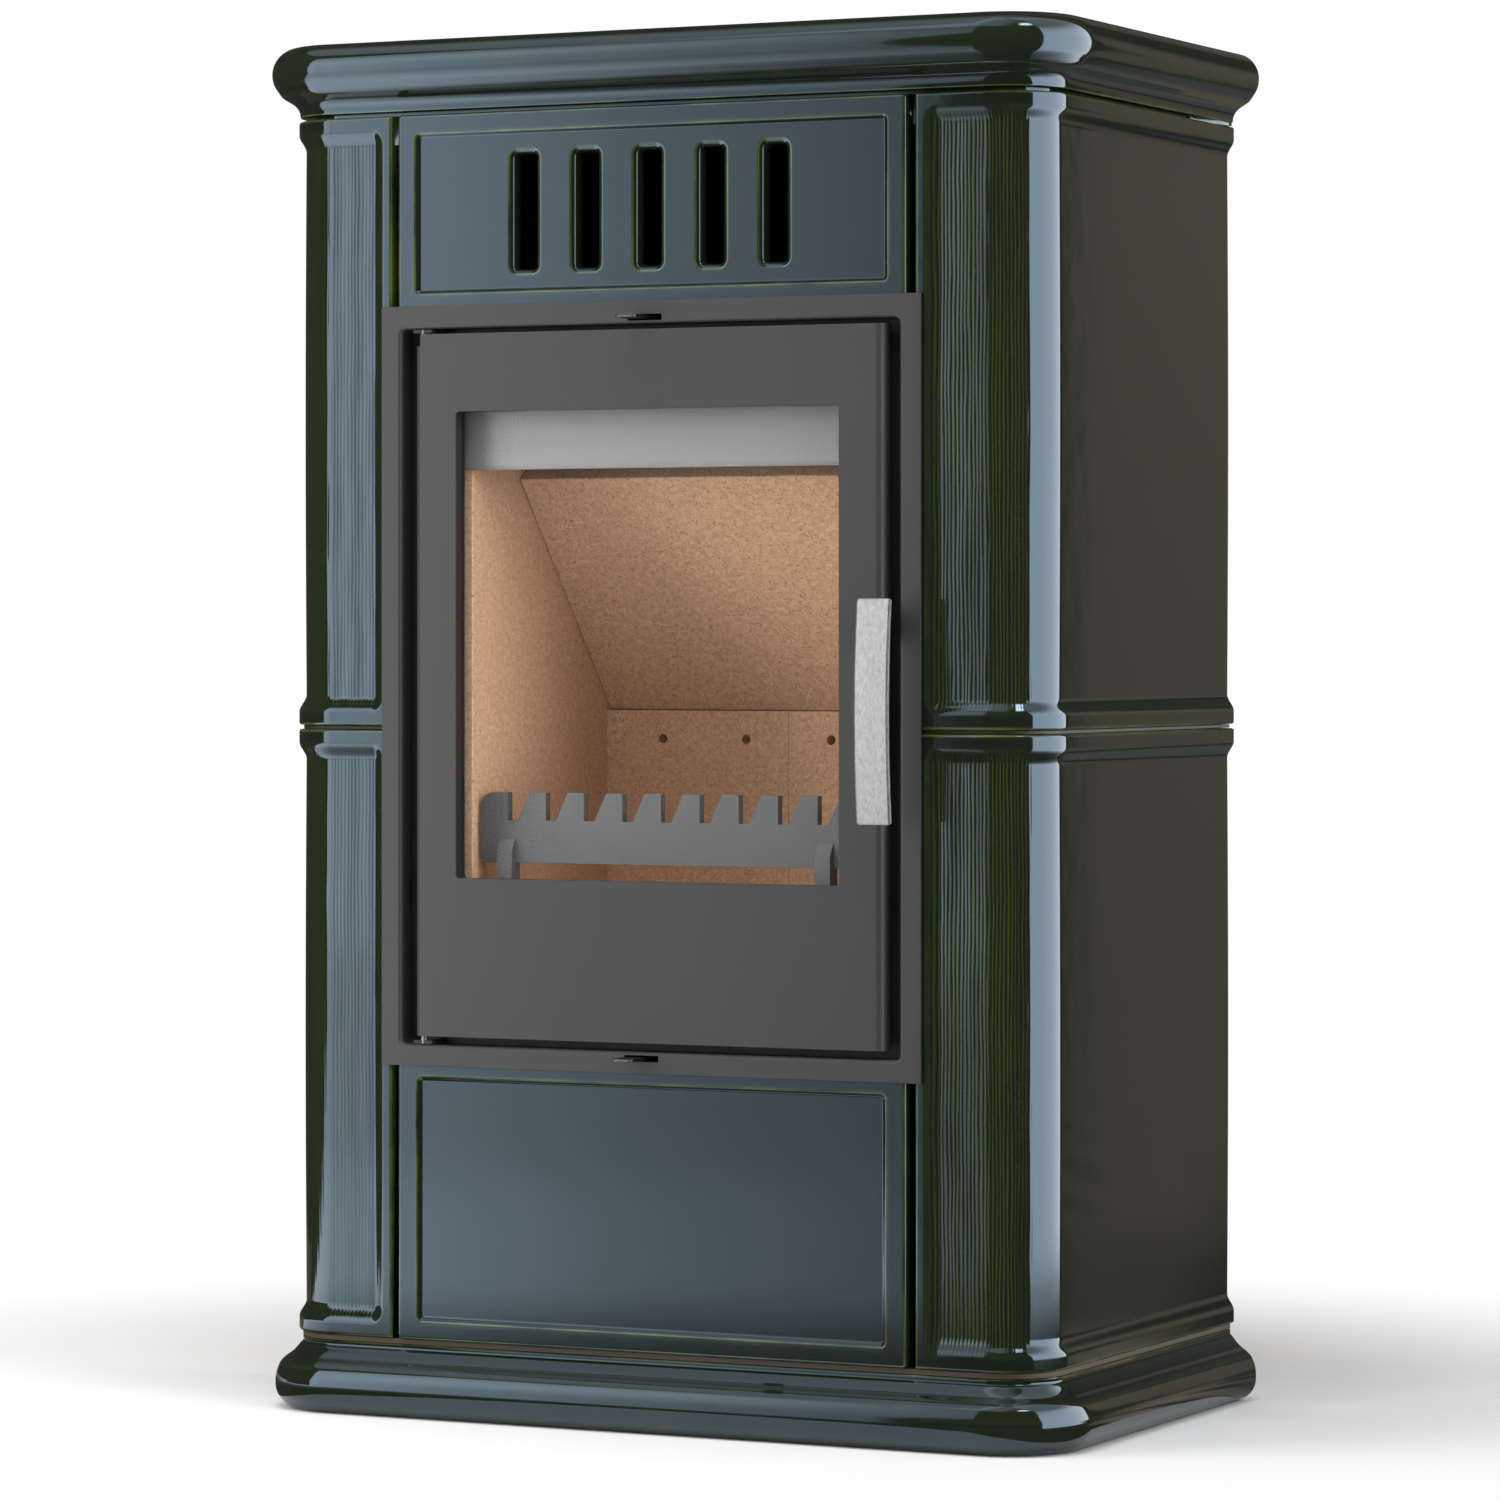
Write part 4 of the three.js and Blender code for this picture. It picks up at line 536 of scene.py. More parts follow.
def stainless_material(colours):
    """Tumbled stainless: mottled soft marks in the gloss, lighter and darker scratches along the bar."""
    tree = new_material("tumbled_stainless")[1]
    marks = noise(tree, object_coordinates(tree, (1, 1, 0.45)), 520.0, 3.0, Roughness=0.6, Distortion=0.8)
    base = mix_colour(tree, marks, shade(colours.stainless, 0.48), shade(colours.stainless, 1.55))
    principled(tree, Base_Color=base, Metallic=1.0, Roughness=scaled(tree, marks, 0.22, 0.30),
               Normal=bump(tree, marks, 0.06 * MM))


def rope_material():
    """Dark woven glass rope with a diagonal lay."""
    tree = new_material("glass_rope")[1]
    weave = add_node(tree, "ShaderNodeTexWave", {"bands_direction": "DIAGONAL"}, Scale=180.0, Distortion=2.0,
                     Vector=object_coordinates(tree)).outputs["Fac"]
    base = mix_colour(tree, weave, (0.03, 0.029, 0.028, 1), (0.11, 0.105, 0.10, 1))
    principled(tree, Base_Color=base, Roughness=0.95, Normal=bump(tree, weave, 0.4 * MM))


def glass_material():
    """Clear glass ceramic with a faint haze. Its low index keeps the mirror image of the softboxes off the
    pane, as an anti-glare coating does."""
    tree = new_material("clear_glass")[1]
    haze = noise(tree, object_coordinates(tree), 3.0, 2.0)
    tint = mix_colour(tree, haze, (0.93, 0.93, 0.93, 1), (0.99, 0.99, 0.99, 1))
    principled(tree, Base_Color=tint, Roughness=0.0, IOR=1.10, Transmission_Weight=1.0)


class STOVE_OT_finishes(bpy.types.Operator):
    """Make every finish of the stove"""
    bl_idname = "stove.finishes"
    bl_label = "Make Finishes"

    def execute(self, context):
        make_speckle_group()
        make_ripple_group()
        colours = context.scene.stove_colours
        glaze_material(False, colours)
        glaze_material(True, colours)
        brick_material(colours)
        stainless_material(colours)
        rope_material()
        glass_material()
        enamel, soot, zinc = colours.enamel, colours.soot, colours.zinc
        brown, casting = colours.brown, colours.casting
        grained_material("matt_enamel", shade(enamel, 0.93), shade(enamel, 1.07), 0.42, coarse=7.0,
                         fine=1500.0, contrast=0.6, relief=0.01 * MM, uneven=0.06, IOR=1.45)
        grained_material("grey_paint", shade((0.135,) * 3), shade((0.145,) * 3), 0.5, fine=1200.0,
                         relief=0.01 * MM)
        grained_material("black_paint", shade(soot), shade((0.022,) * 3), 0.55, fine=1200.0, relief=0.03 * MM)
        grained_material("zinc_sheet", shade(zinc, 0.8), shade(zinc), 0.42, 0.85, coarse=45.0, fine=300.0,
                         contrast=1.6, relief=0.02 * MM)
        grained_material("brown_strip", shade(brown), shade(brown, 1.5), 0.5)
        grained_material("grey_casting", shade(casting, 0.8), shade(casting, 1.2), 0.62, coarse=80.0,
                         fine=900.0, relief=0.04 * MM)
        grained_material("worn_tab", shade((0.06,) * 3), shade((0.20,) * 3), 0.35, 1.0, fine=500.0,
                         relief=0.02 * MM)
        return {"FINISHED"}


# ---------------------------------------------------------------- glazed tiles
def key_profile(points, count_between=5):
    """A smooth curve through profile points: a Catmull-Rom spline, with count_between points in each span."""
    points = np.asarray(points, dtype=float)
    padded = np.vstack([2 * points[0] - points[1], points, 2 * points[-1] - points[-2]])
    t = np.linspace(0, 1, count_between, endpoint=False)[:, None]
    spans = []
    for a, b, c, d in zip(padded, padded[1:], padded[2:], padded[3:]):
        square, cube = 2 * a - 5 * b + 4 * c - d, 3 * b - a - 3 * c + d
        spans.append(0.5 * (2 * b + (c - a) * t + square * t ** 2 + cube * t ** 3))
    return np.vstack([*spans, points[-1:]])


def arc(centre, radius, start, end, count):
    """Points of a circle arc between two angles in degrees."""
    angle = np.radians(np.linspace(start, end, count))
    return np.stack([centre[0] + radius * np.cos(angle), centre[1] + radius * np.sin(angle)], axis=-1)


def cornice_profile():
    """Edge of the top tile from its underside to its top: shadow groove, S-shaped cove and round nose."""
    low, high = (corner.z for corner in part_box("cornice_tile"))
    nose = 19 * MM
    centre = (0.3 * MM, high - low - nose)
    under = np.array([(-24.0, 0.0), (-13.0, 0.0), (-12.8, 0.2), (-12.8, 2.1), (-1.9, 2.3), (-1.4, 2.6)]) * MM
    cove = np.array([(-1.1, 3.1), (-1.0, 4.4), (-0.7, 6.0), (0.5, 8.8), (3.0, 11.7), (7.2, 14.4),
                     (11.6, 17.2)]) * MM
    curve = key_profile(np.vstack([cove, arc(centre, nose, -40, -30, 2)]), 6)
    profile = np.vstack([under, curve, arc(centre, nose, -28, 90, 40)])
    profile[:, 1] += low
    return profile


def profile_convexity(profile, gain):
    """Turning of a profile per unit length, positive where it turns outward, times a gain, from 0 to 1."""
    step = np.diff(profile, axis=0)
    run = np.hypot(step[:, 0], step[:, 1])
    heading = np.unwrap(np.arctan2(step[:, 1], step[:, 0]))
    bend = np.zeros(len(profile))
    bend[1:-1] = np.diff(heading) / np.maximum((run[1:] + run[:-1]) / 2, 1e-5)
    return np.clip(bend * gain, 0, 1)


def slab(name, path, profile, gain):
    """A solid with the stove's plan whose edge follows a profile of (offset, height), capped above, below and
    at the back. What lies deeper than the groove's mouth runs out towards the rear. The glaze thins where the
    profile turns outward."""
    mouth = -2 * MM
    shut = smoothstep(path["y"], REAR_Y - 0.045, REAR_Y - 0.015)[:, None]
    in_groove = (profile[:, 0] < mouth) & (np.arange(len(profile)) > 0)
    offsets = np.where(in_groove, profile[:, 0] * (1 - shut) + mouth * shut, profile[:, 0])
    points = carried(path, offsets, profile[:, 1])
    stations, steps = points.shape[:2]
    grid = np.arange(stations * steps).reshape(stations, steps)
    rear = np.concatenate([grid[0, ::-1], grid[-1]])
    faces = grid_quads(stations, steps).tolist()
    faces += [grid[:, 0].tolist(), grid[::-1, -1].tolist(), rear.tolist()]
    piece = new_object(name, points, outward(points, consistent(faces)))
    float_attribute(piece, "glaze_thin", np.tile(profile_convexity(profile, gain), (stations, 1)))
    return piece


def swept_band(name, path, offsets, heights, thin):
    """A closed section carried along the wall, one per station, with flat ends."""
    piece = capped_tube(name, carried(path, offsets, heights))
    float_attribute(piece, "glaze_thin", thin)
    return piece


class STOVE_OT_cornice_and_plinth(bpy.types.Operator):
    """Make the ceramic top and the ceramic base"""
    bl_idname = "stove.cornice_and_plinth"
    bl_label = "Make Cornice and Plinth"

    def execute(self, context):
        path = whole_wall(context.scene.stove_tiles.corner_radius, 28)
        gain = 1.2 * MM
        finish_piece(slab("cornice", path, cornice_profile(), gain), "tile_glaze", "cornice_tile")
        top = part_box("plinth_tile")[1].z
        reach, toe, wall = 17 * MM, 16.5 * MM, 16 * MM
        seat = [(-wall, top), (-4 * MM, top), (-3.4 * MM, top - 0.1 * MM)]
        ogee = np.array([(-3.0, 0.6), (-3.1, 3.2), (-1.0, 5.5), (1.9, 9.0), (5.0, 12.0), (8.7, 14.6),
                         (11.9, 17.3), (14.0, 20.1), (16.3, 25.8), (17.0, 31.0)]) * MM
        ogee[:, 1] = top - ogee[:, 1]
        foot = arc((reach - toe, toe), toe, -2, -90, 24)
        section = np.vstack([seat, key_profile(ogee), foot, [(-wall, 0.0)]])
        thin = np.tile(profile_convexity(section[::-1], gain)[::-1], (len(path["x"]), 1))
        thin[:, [0, -1]] = 0
        plinth = swept_band("plinth", path, section[:, 0], section[:, 1], thin)
        finish_piece(plinth, "tile_glaze", "plinth_tile")
        return {"FINISHED"}


def corner_relief(s, z, low, high, sizes, seed):
    """Relief of a corner tile: its offset, and the mask of its field. A rounded rectangle, open towards the
    rear, sinks between the bands and the border by a smooth step. The field swells by half a sine, and a sum
    of sines stretched along Z gives it slow upright waves, which fade where the tile turns to the side."""
    up = np.clip((z - low - sizes.band_flat) / sizes.band_fall, 0, 1)
    down = np.clip((high - z - sizes.band_flat) / sizes.band_fall, 0, 1)
    beside = np.clip((s - sizes.border_flat) / sizes.border_fall, 0, 1)
    field = smoothstep(1 - np.hypot(1 - np.minimum(up, down), 1 - beside), 0, 1)
    bow = np.sin(math.pi * np.clip((z - low) / (high - low), 0, 1)) * sizes.field_bow
    fade_start, fade_end = 0.065, 0.105
    fade = 1 - smoothstep(s, fade_start, fade_end)
    random = np.random.default_rng(seed)
    waves = np.zeros_like(field)
    for _ in range(4):
        wave, drift, phase, weight = (random.uniform(*span) for span in
                                      ((0.012, 0.026), (0.09, 0.30), (0, 2 * math.pi), (0.4, 1.0)))
        bend = 0.8 * np.sin(2 * math.pi * z / drift + phase)
        waves += weight * np.sin(2 * math.pi * s / wave + bend + phase)
    edge = rounding(np.minimum(np.minimum(z - low, high - z), s), sizes.edge_round)
    offset = -field * (sizes.field_depth - bow) + field * fade * waves * sizes.ripple - edge - SET_BACK
    return offset, field * fade


class STOVE_OT_corner_tiles(bpy.types.Operator):
    """Make the four corner tiles with raised bands and a rippled field"""
    bl_idname = "stove.corner_tiles"
    bl_label = "Make Corner Tiles"

    def execute(self, context):
        sizes = context.scene.stove_tiles
        start = 0.205
        depth = REAR_Y - FRONT_Y - sizes.corner_radius
        edge, fall = 2.4 * MM, 24 * MM
        front_lines = spaced((0, edge, 0.4 * MM), (edge, 0.007, 1.2 * MM), (0.007, 0.013, 0.5 * MM),
                             (0.013, 0.06, 0.9 * MM))
        side_lines = spaced((0.001, 0.10, 1.4 * MM), (0.10, depth - 0.01, 6 * MM),
                            (depth - 0.01, depth, 4 * MM))
        nodes = [f"corner_tile_{level}_{side}" for level in ("upper", "lower") for side in ("left", "right")]
        for number, node in enumerate(nodes):
            side = -1 if node.endswith("left") else 1
            path = wall_path(start, sizes.corner_radius, front_lines, 64, side_lines, side)
            low, high = (corner.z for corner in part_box(node))
            heights = spaced((low, low + edge, 0.4 * MM), (low + edge, low + fall, 1 * MM),
                             (low + fall, high - fall, 4 * MM), (high - fall, high - edge, 1 * MM),
                             (high - edge, high, 0.4 * MM))
            s, z = np.meshgrid(path["s"], heights, indexing="ij")
            offset, field = corner_relief(s, z, low, high, sizes, 20 + number)
            back, none = np.full((len(s), 1), -sizes.wall), np.zeros((len(s), 2))
            levels = np.hstack([z, np.full_like(back, high), np.full_like(back, low)])
            thin = np.hstack([convexity(offset, path["s"], heights, 1.1 * MM), none])
            piece = swept_band(node.replace("_tile", ""), path, np.hstack([offset, back, back]), levels, thin)
            ripples = field * (0.5 if side < 0 else 1.0)
            float_attribute(piece, "ripple_field", np.hstack([ripples, none]))
            float_attribute(piece, "wall_run", np.hstack([s, s[:, :1], s[:, :1]]))
            finish_piece(piece, "tile_glaze_rippled", node)
        return {"FINISHED"}


def pierced_sheet(name, xs, zs, holes, place, back_place):
    """A closed plate over a grid of x and z lines: cells inside a hole are dropped, the points beside its
    outline are moved onto it, place gives the front face and back_place the back, and walls join them."""
    x, z = np.meshgrid(xs, zs, indexing="ij")
    centre_x = (x[:-1, :-1] + x[1:, 1:]) / 2
    centre_z = (z[:-1, :-1] + z[1:, 1:]) / 2
    keep = np.ones(centre_x.shape, bool)
    for hole in holes:
        reach = 0.00045
        distance = rect_distance(x, z, hole)
        slope_x = (rect_distance(x + 1e-5, z, hole) - distance) / 1e-5
        slope_z = (rect_distance(x, z + 1e-5, hole) - distance) / 1e-5
        near = (np.abs(distance) < reach) & (np.abs(distance) > 1e-7)
        x = np.where(near, x - distance * slope_x, x)
        z = np.where(near, z - distance * slope_z, z)
        keep &= rect_distance(centre_x, centre_z, hole) > 0
    front = np.stack(place(x, z), axis=-1).reshape(-1, 3)
    back = np.stack(back_place(x, z), axis=-1).reshape(-1, 3)
    quads = grid_quads(len(xs), len(zs))[keep.ravel()]
    ends = np.concatenate([quads[:, [i, (i + 1) % 4]] for i in range(4)])
    keyed = np.sort(ends, axis=1)
    _, first, counts = np.unique(keyed, axis=0, return_index=True, return_counts=True)
    rim = ends[first[counts == 1]]
    total = len(front)
    walls = np.stack([rim[:, 1], rim[:, 0], rim[:, 0] + total, rim[:, 1] + total], axis=-1)
    faces = np.concatenate([quads, quads[:, ::-1] + total, walls])
    points = np.concatenate([front, back])
    used = np.unique(faces)
    renumber = np.full(len(points), -1)
    renumber[used] = np.arange(len(used))
    faces = renumber[faces].tolist()
    return new_object(name, points[used], outward(points[used], faces)), used, total


def panel_runs(low, high, panel_low, panel_high):
    """Grid runs across a front tile: fine at its edges and where its panel sinks, and coarse between."""
    fine, rim, outside, inside = 0.5 * MM, 3 * MM, 1 * MM, 4.5 * MM
    return [(low, low + rim, fine), (low, panel_low - outside, 3 * MM),
            (panel_low - outside, panel_low + inside, fine), (panel_low, panel_high, 6 * MM),
            (panel_high - inside, panel_high + outside, fine), (panel_high, high, 3 * MM),
            (high - rim, high, fine)]


def slot_runs(low, high):
    """Grid runs across the two lips of a slot."""
    fine, outside, inside = 0.5 * MM, 5.5 * MM, 3.5 * MM
    return [(low - outside, low + inside, fine), (high - inside, high + outside, fine)]


def front_tile(name, node, panel, slots, sizes):
    """A front tile: its edges are quarter circles, a rounded rectangle sinks into it by a smooth step, and
    each slot has a quarter-circle lip."""
    low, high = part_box(node)
    outer = (low.x, high.x, low.z, high.z, 3 * MM)
    face_y, back_y = FRONT_Y - TILE_PROUD, high.y
    thinnest = 1 * MM

    def place(x, z):
        sunk = smoothstep(-rect_distance(x, z, panel), -0.6 * MM, 3.2 * MM) * sizes.panel_depth
        edge = rounding(-rect_distance(x, z, outer), sizes.edge_round)
        lips = sum((rounding(rect_distance(x, z, slot), sizes.slot_lip) for slot in slots), np.zeros_like(x))
        return x, face_y + np.minimum(sunk + edge + lips, back_y - face_y - thinnest), z

    x_runs = panel_runs(low.x, high.x, panel[0], panel[1])
    z_runs = panel_runs(low.z, high.z, panel[2], panel[3])
    for x0, x1, z0, z1, _ in slots:
        x_runs += slot_runs(x0, x1)
        z_runs += slot_runs(z0, z1)
    xs, zs = spaced(*x_runs), spaced(*z_runs)
    piece, used, total = pierced_sheet(name, xs, zs, slots, place,
                                       lambda x, z: (x, np.full_like(x, back_y), z))
    x, z = np.meshgrid(xs, zs, indexing="ij")
    lines = [soft_line(rect_distance(x, z, panel), 0.2 * MM, 0.7 * MM),
             soft_line(-rect_distance(x, z, outer), 1.2 * MM, 0.6 * MM)]
    lines += [0.8 * soft_line(rect_distance(x, z, slot), 0.82 * sizes.slot_lip, 0.7 * MM) for slot in slots]
    thin = np.zeros(2 * total)
    thin[:total] = np.max(lines, axis=0).ravel()
    float_attribute(piece, "glaze_thin", thin[used])
    finish_piece(piece, "tile_glaze", node)


class STOVE_OT_front_tiles(bpy.types.Operator):
    """Make the slotted upper and the plain lower front tile"""
    bl_idname = "stove.front_tiles"
    bl_label = "Make Front Tiles"

    def execute(self, context):
        sizes = context.scene.stove_tiles
        half, low, high, radius = sizes.slot_width / 2, 0.815, 0.896, 3 * MM
        slots = [(x - half, x + half, low, high, radius) for x in (np.arange(5) - 2) * sizes.slot_pitch]
        front_tile("upper_front", "front_tile_upper", (-0.185, 0.185, 0.799, 0.913, 4 * MM), slots, sizes)
        front_tile("lower_front", "front_tile_lower", (-0.1835, 0.1835, 0.069, 0.243, 4 * MM), [], sizes)
        return {"FINISHED"}


# ---------------------------------------------------------------- steel front
def rect_ring(rect, count):
    """Points round a rounded rectangle (x0, x1, z0, z1, radius): a quarter circle of count points at each
    corner."""
    x0, x1, z0, z1, radius = rect
    corners = [(x1 - radius, z0 + radius, -90), (x1 - radius, z1 - radius, 0), (x0 + radius, z1 - radius, 90),
               (x0 + radius, z0 + radius, 180)]
    return np.vstack([arc((cx, cz), radius, start, start + 90, count) for cx, cz, start in corners])


def ring_solid(name, rings, count=7):
    """A closed ring through rounded rectangles, each (rect, y), the last joined to the first."""
    return closed_tube(name, np.stack([np.insert(rect_ring(rect, count), 1, y, axis=1) for rect, y in rings]))


def inset(rect, by):
    """A rounded rectangle drawn in by a distance on every side."""
    x0, x1, z0, z1, radius = rect
    return (x0 + by, x1 - by, z0 + by, z1 - by, max(0.4 * MM, radius - by))


def cut_through(piece, cutters):
    """Cuts holes into a finished mesh and rounds nothing."""
    for cutter in cutters:
        modified(piece, "BOOLEAN", solver="EXACT", operation="DIFFERENCE", object=cutter)
    applied(piece)
    for cutter in cutters:
        bpy.data.objects.remove(cutter)
    return evened(piece)


def surround_piece(sizes):
    """The door surround: flat sheet, folded round the opening on a small bend, back to the plate behind."""
    low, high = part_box("door_frame")
    opening = (-0.195, 0.195, 0.266, 0.774, 4 * MM)
    outer = (low.x, high.x, low.z, high.z, 1 * MM)
    face, sheet, bend, nip = low.y, sizes.sheet, sizes.opening_bend, sizes.edge_break
    rings = [(outer, face + sheet), (outer, face + nip), (inset(outer, nip * 0.3), face + nip * 0.3),
             (inset(outer, nip), face)]
    turn = np.radians(np.linspace(0, 90, 7))
    rings += [(inset(opening, -bend * (1 - math.sin(a))), face + bend * (1 - math.cos(a))) for a in turn]
    rings += [(opening, high.y), (inset(opening, -sheet), high.y), (inset(opening, -sheet), face + sheet)]
    return ring_solid("door_surround", rings)


def tab_cutters(y0, y1):
    """Rounded bars along Y that cut the slots of the two tabs, at the middle of each slide's thickness."""
    half_width, half_height = 13.5 * MM, 2.25 * MM
    cutters = []
    for node, centre in (("primary_air_slide", -3 * MM), ("secondary_air_slide", -0.4 * MM)):
        z = (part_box(node)[0].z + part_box(node)[1].z) / 2
        rect = (centre - half_width, centre + half_width, z - half_height, z + half_height, 0.8 * MM)
        cutters.append(capped_tube("slot_cutter", np.stack([np.insert(rect_ring(rect, 4), 1, y, axis=1)
                                                            for y in (y0, y1)])))
    return cutters


def door_sheet(sizes):
    """The door's outer sheet: a flat face whose two long edges bend back on quarter circles, with the window
    and the notch at the upper hinge cut out."""
    low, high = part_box("door_panel")
    half, bend, sheet = high.x, sizes.door_bend, sizes.sheet
    flat = half - bend
    quarter = math.pi / 2 * bend
    fold = high.y - low.y - bend
    half_window, sill, head = 0.150, 0.3845, 0.715
    window = (-half_window, half_window, sill, head, 3 * MM)

    def place(u, z, depth_in=0.0):
        run = np.abs(u) - flat
        angle = np.clip(run / bend, 0, math.pi / 2)
        radius = bend - depth_in
        x = np.where(run <= 0, np.abs(u), flat + np.sin(angle) * radius)
        y = np.where(run <= 0, low.y + depth_in, low.y + bend - np.cos(angle) * radius)
        return np.sign(u) * x, y + np.clip(run - quarter, 0, None), z

    end = flat + quarter + fold
    notch_width, notch_low = 5 * MM, high.z - 8.5 * MM
    notch = (-end - 0.01, notch_width - half, notch_low, high.z + 0.01, 0.1 * MM)
    fine, beside = 0.5 * MM, 3.5 * MM  # the grid is fine on either side of the window's edge
    inner, outer = half_window - beside, half_window + beside
    us = spaced((-end, -flat - quarter, 3 * MM), (-flat - quarter, -flat, 0.7 * MM), (-flat, -outer, 4 * MM),
                (-outer, -inner, fine), (-inner, inner, 0.02), (inner, outer, fine), (outer, flat, 4 * MM),
                (flat, flat + quarter, 0.7 * MM), (flat + quarter, end, 3 * MM))
    zs = spaced((low.z, sill - beside, 0.02), (sill - beside, sill + beside, fine),
                (sill + beside, head - beside, 0.02), (head - beside, head + beside, fine),
                (head + beside, notch_low, 0.01), (notch_low, high.z, 1.4 * MM))
    piece = pierced_sheet("door_sheet", us, zs, [window, notch], place, lambda u, z: place(u, z, sheet))[0]
    return round_edges(piece, sizes.edge_break, angle=50)


class STOVE_OT_steel_front(bpy.types.Operator):
    """Make the surround, the door and what sits in it"""
    bl_idname = "stove.steel_front"
    bl_label = "Make Steel Front"

    def execute(self, context):
        sizes = context.scene.stove_steel
        edge = sizes.edge_break
        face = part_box("door_frame")[0].y
        surround = cut_through(surround_piece(sizes), tab_cutters(face - 0.01, face + 4 * MM))
        finish_piece(surround, "matt_enamel", "door_frame")
        finish_piece(door_sheet(sizes), "matt_enamel", "door_panel")
        dress("black_paint", edge, "door_liner", "glass_retainer", "firebox_front", "handle_lever",
              "hinge_bracket_lower", "hinge_bracket_upper")
        dress("zinc_sheet", edge, "hinge_pin_lower", "hinge_pin_upper", "latch_cam", "door_catch",
              "lintel_rail")
        return {"FINISHED"}


def rope_seal(node="door_seal", turns_per_metre=60):
    """A rope round a rounded rectangle: a circle whose radius swells in three lobes that turn along it."""
    low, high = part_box(node)
    radius = (high.y - low.y) / 2
    path = rect_ring(inset((low.x, high.x, low.z, high.z, 14 * MM), radius), 12)
    step = np.linalg.norm(np.roll(path, -1, axis=0) - path, axis=1)
    run = np.concatenate([[0], np.cumsum(step)])
    lines = np.linspace(0, run[-1], 900, endpoint=False)
    closed = np.vstack([path, path[:1]])
    centre = np.stack([np.interp(lines, run, closed[:, i]) for i in (0, 1)], axis=-1)
    along = np.roll(centre, -1, axis=0) - np.roll(centre, 1, axis=0)
    along /= np.linalg.norm(along, axis=1, keepdims=True)
    angle = np.linspace(0, 2 * math.pi, 14, endpoint=False)[None, :]
    lay = round(run[-1] * turns_per_metre) * 2 * math.pi * (lines / run[-1])[:, None]
    swell = radius * (0.93 + 0.06 * np.cos(3 * angle + lay))
    across = swell * np.cos(angle)
    x, z = centre[:, :1] + along[:, 1:] * across, centre[:, 1:] - along[:, :1] * across
    points = np.stack([x, (low.y + high.y) / 2 + swell * np.sin(angle), z], axis=-1)
    finish_piece(closed_tube("rope_seal", points), "glass_rope", node)


class STOVE_OT_window(bpy.types.Operator):
    """Make the window glass, its tape and the rope seal"""
    bl_idname = "stove.window"
    bl_label = "Make Window and Seals"

    def execute(self, context):
        dress("clear_glass", 0, "window_glass")
        bpy.data.objects["window_glass_dressed"].visible_shadow = False
        rope_seal()
        dress("glass_rope", 0.2 * MM, "window_gasket")
        return {"FINISHED"}


def handle_bar(chamfer):
    """A flat bar bowed on a circle through its box, with bevelled long edges and ends."""
    low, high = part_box("handle_bar")
    thick, ends = 4 * MM, 1.1 * MM
    half_length = (high.z - low.z) / 2
    bow = high.y - low.y - thick
    radius = (half_length ** 2 + bow ** 2) / (2 * bow)
    spread = math.asin(half_length / radius)
    last = spread - ends / radius
    angle = np.concatenate([[-spread], np.linspace(-last, last, 60), [spread]])
    half_x, half_y = (high.x - low.x) / 2, thick / 2
    corner = [(half_x - chamfer, half_y), (half_x, half_y - 0.6 * chamfer)]
    section = corner + [(x, -y) for x, y in corner[::-1]]
    section = np.array(section + [(-x, y) for x, y in section[::-1]])
    shape = np.repeat(section[None], len(angle), axis=0)
    shape[[0, -1]] = np.sign(section) * np.maximum(np.abs(section) - ends * 0.7, 0)
    ring = radius - half_y + shape[:, :, 1]
    x = (low.x + high.x) / 2 + shape[:, :, 0]
    y = low.y + radius - ring * np.cos(angle)[:, None]
    z = (low.z + high.z) / 2 + ring * np.sin(angle)[:, None]
    bar = capped_tube("bowed_bar", np.stack([x, y, z], axis=-1), sharp_angle=math.radians(20))
    finish_piece(bar, "tumbled_stainless", "handle_bar")


class STOVE_OT_handle_and_slides(bpy.types.Operator):
    """Make the bowed handle bar and the two air slides"""
    bl_idname = "stove.handle_and_slides"
    bl_label = "Make Handle and Slides"

    def execute(self, context):
        handle_bar(context.scene.stove_steel.handle_chamfer)
        dress("worn_tab", 0.3 * MM, "primary_air_slide", "secondary_air_slide")
        return {"FINISHED"}


class STOVE_OT_fire_chamber(bpy.types.Operator):
    """Make the bricks, grate, log guard, deflector and ash pan"""
    bl_idname = "stove.fire_chamber"
    bl_label = "Make Fire Chamber"

    def execute(self, context):
        sizes = context.scene.stove_steel
        bricks = [f"{name}_brick_{side}" for name in ("side", "rear", "floor") for side in ("left", "right")]
        dress("vermiculite", sizes.brick_edge, *bricks, "baffle_brick")
        dress("grey_casting", 0.9 * MM, "log_guard", "fire_grate")
        dress("grey_paint", sizes.edge_break, "air_deflector")
        dress("zinc_sheet", sizes.edge_break, "ash_pan")
        return {"FINISHED"}


def cover_tape():
    """Woven tape that closes the seam between the rear panel and the top cover: an oval section, carried
    along X, that swells and narrows a little like a stuffed cord."""
    panel_low, panel_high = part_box("rear_panel")
    seam_low, seam_high = panel_high.z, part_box("top_cover")[0].z
    x = np.linspace(panel_low.x + 3 * MM, panel_high.x - 3 * MM, 181)[:, None]
    turn = np.linspace(0, 2 * math.pi, 16, endpoint=False)[None, :]
    swell = 0.97 + 0.03 * np.cos(2 * math.pi * x / (12 * MM))
    y = panel_high.y - 2.5 * MM + 2.2 * MM * swell * np.cos(turn)
    z = (seam_low + seam_high) / 2 + (seam_high - seam_low) / 2 * swell * np.sin(turn)
    tape = capped_tube("cover_tape", np.stack(np.broadcast_arrays(x, y, z), axis=-1))
    finish_piece(tape, "glass_rope")


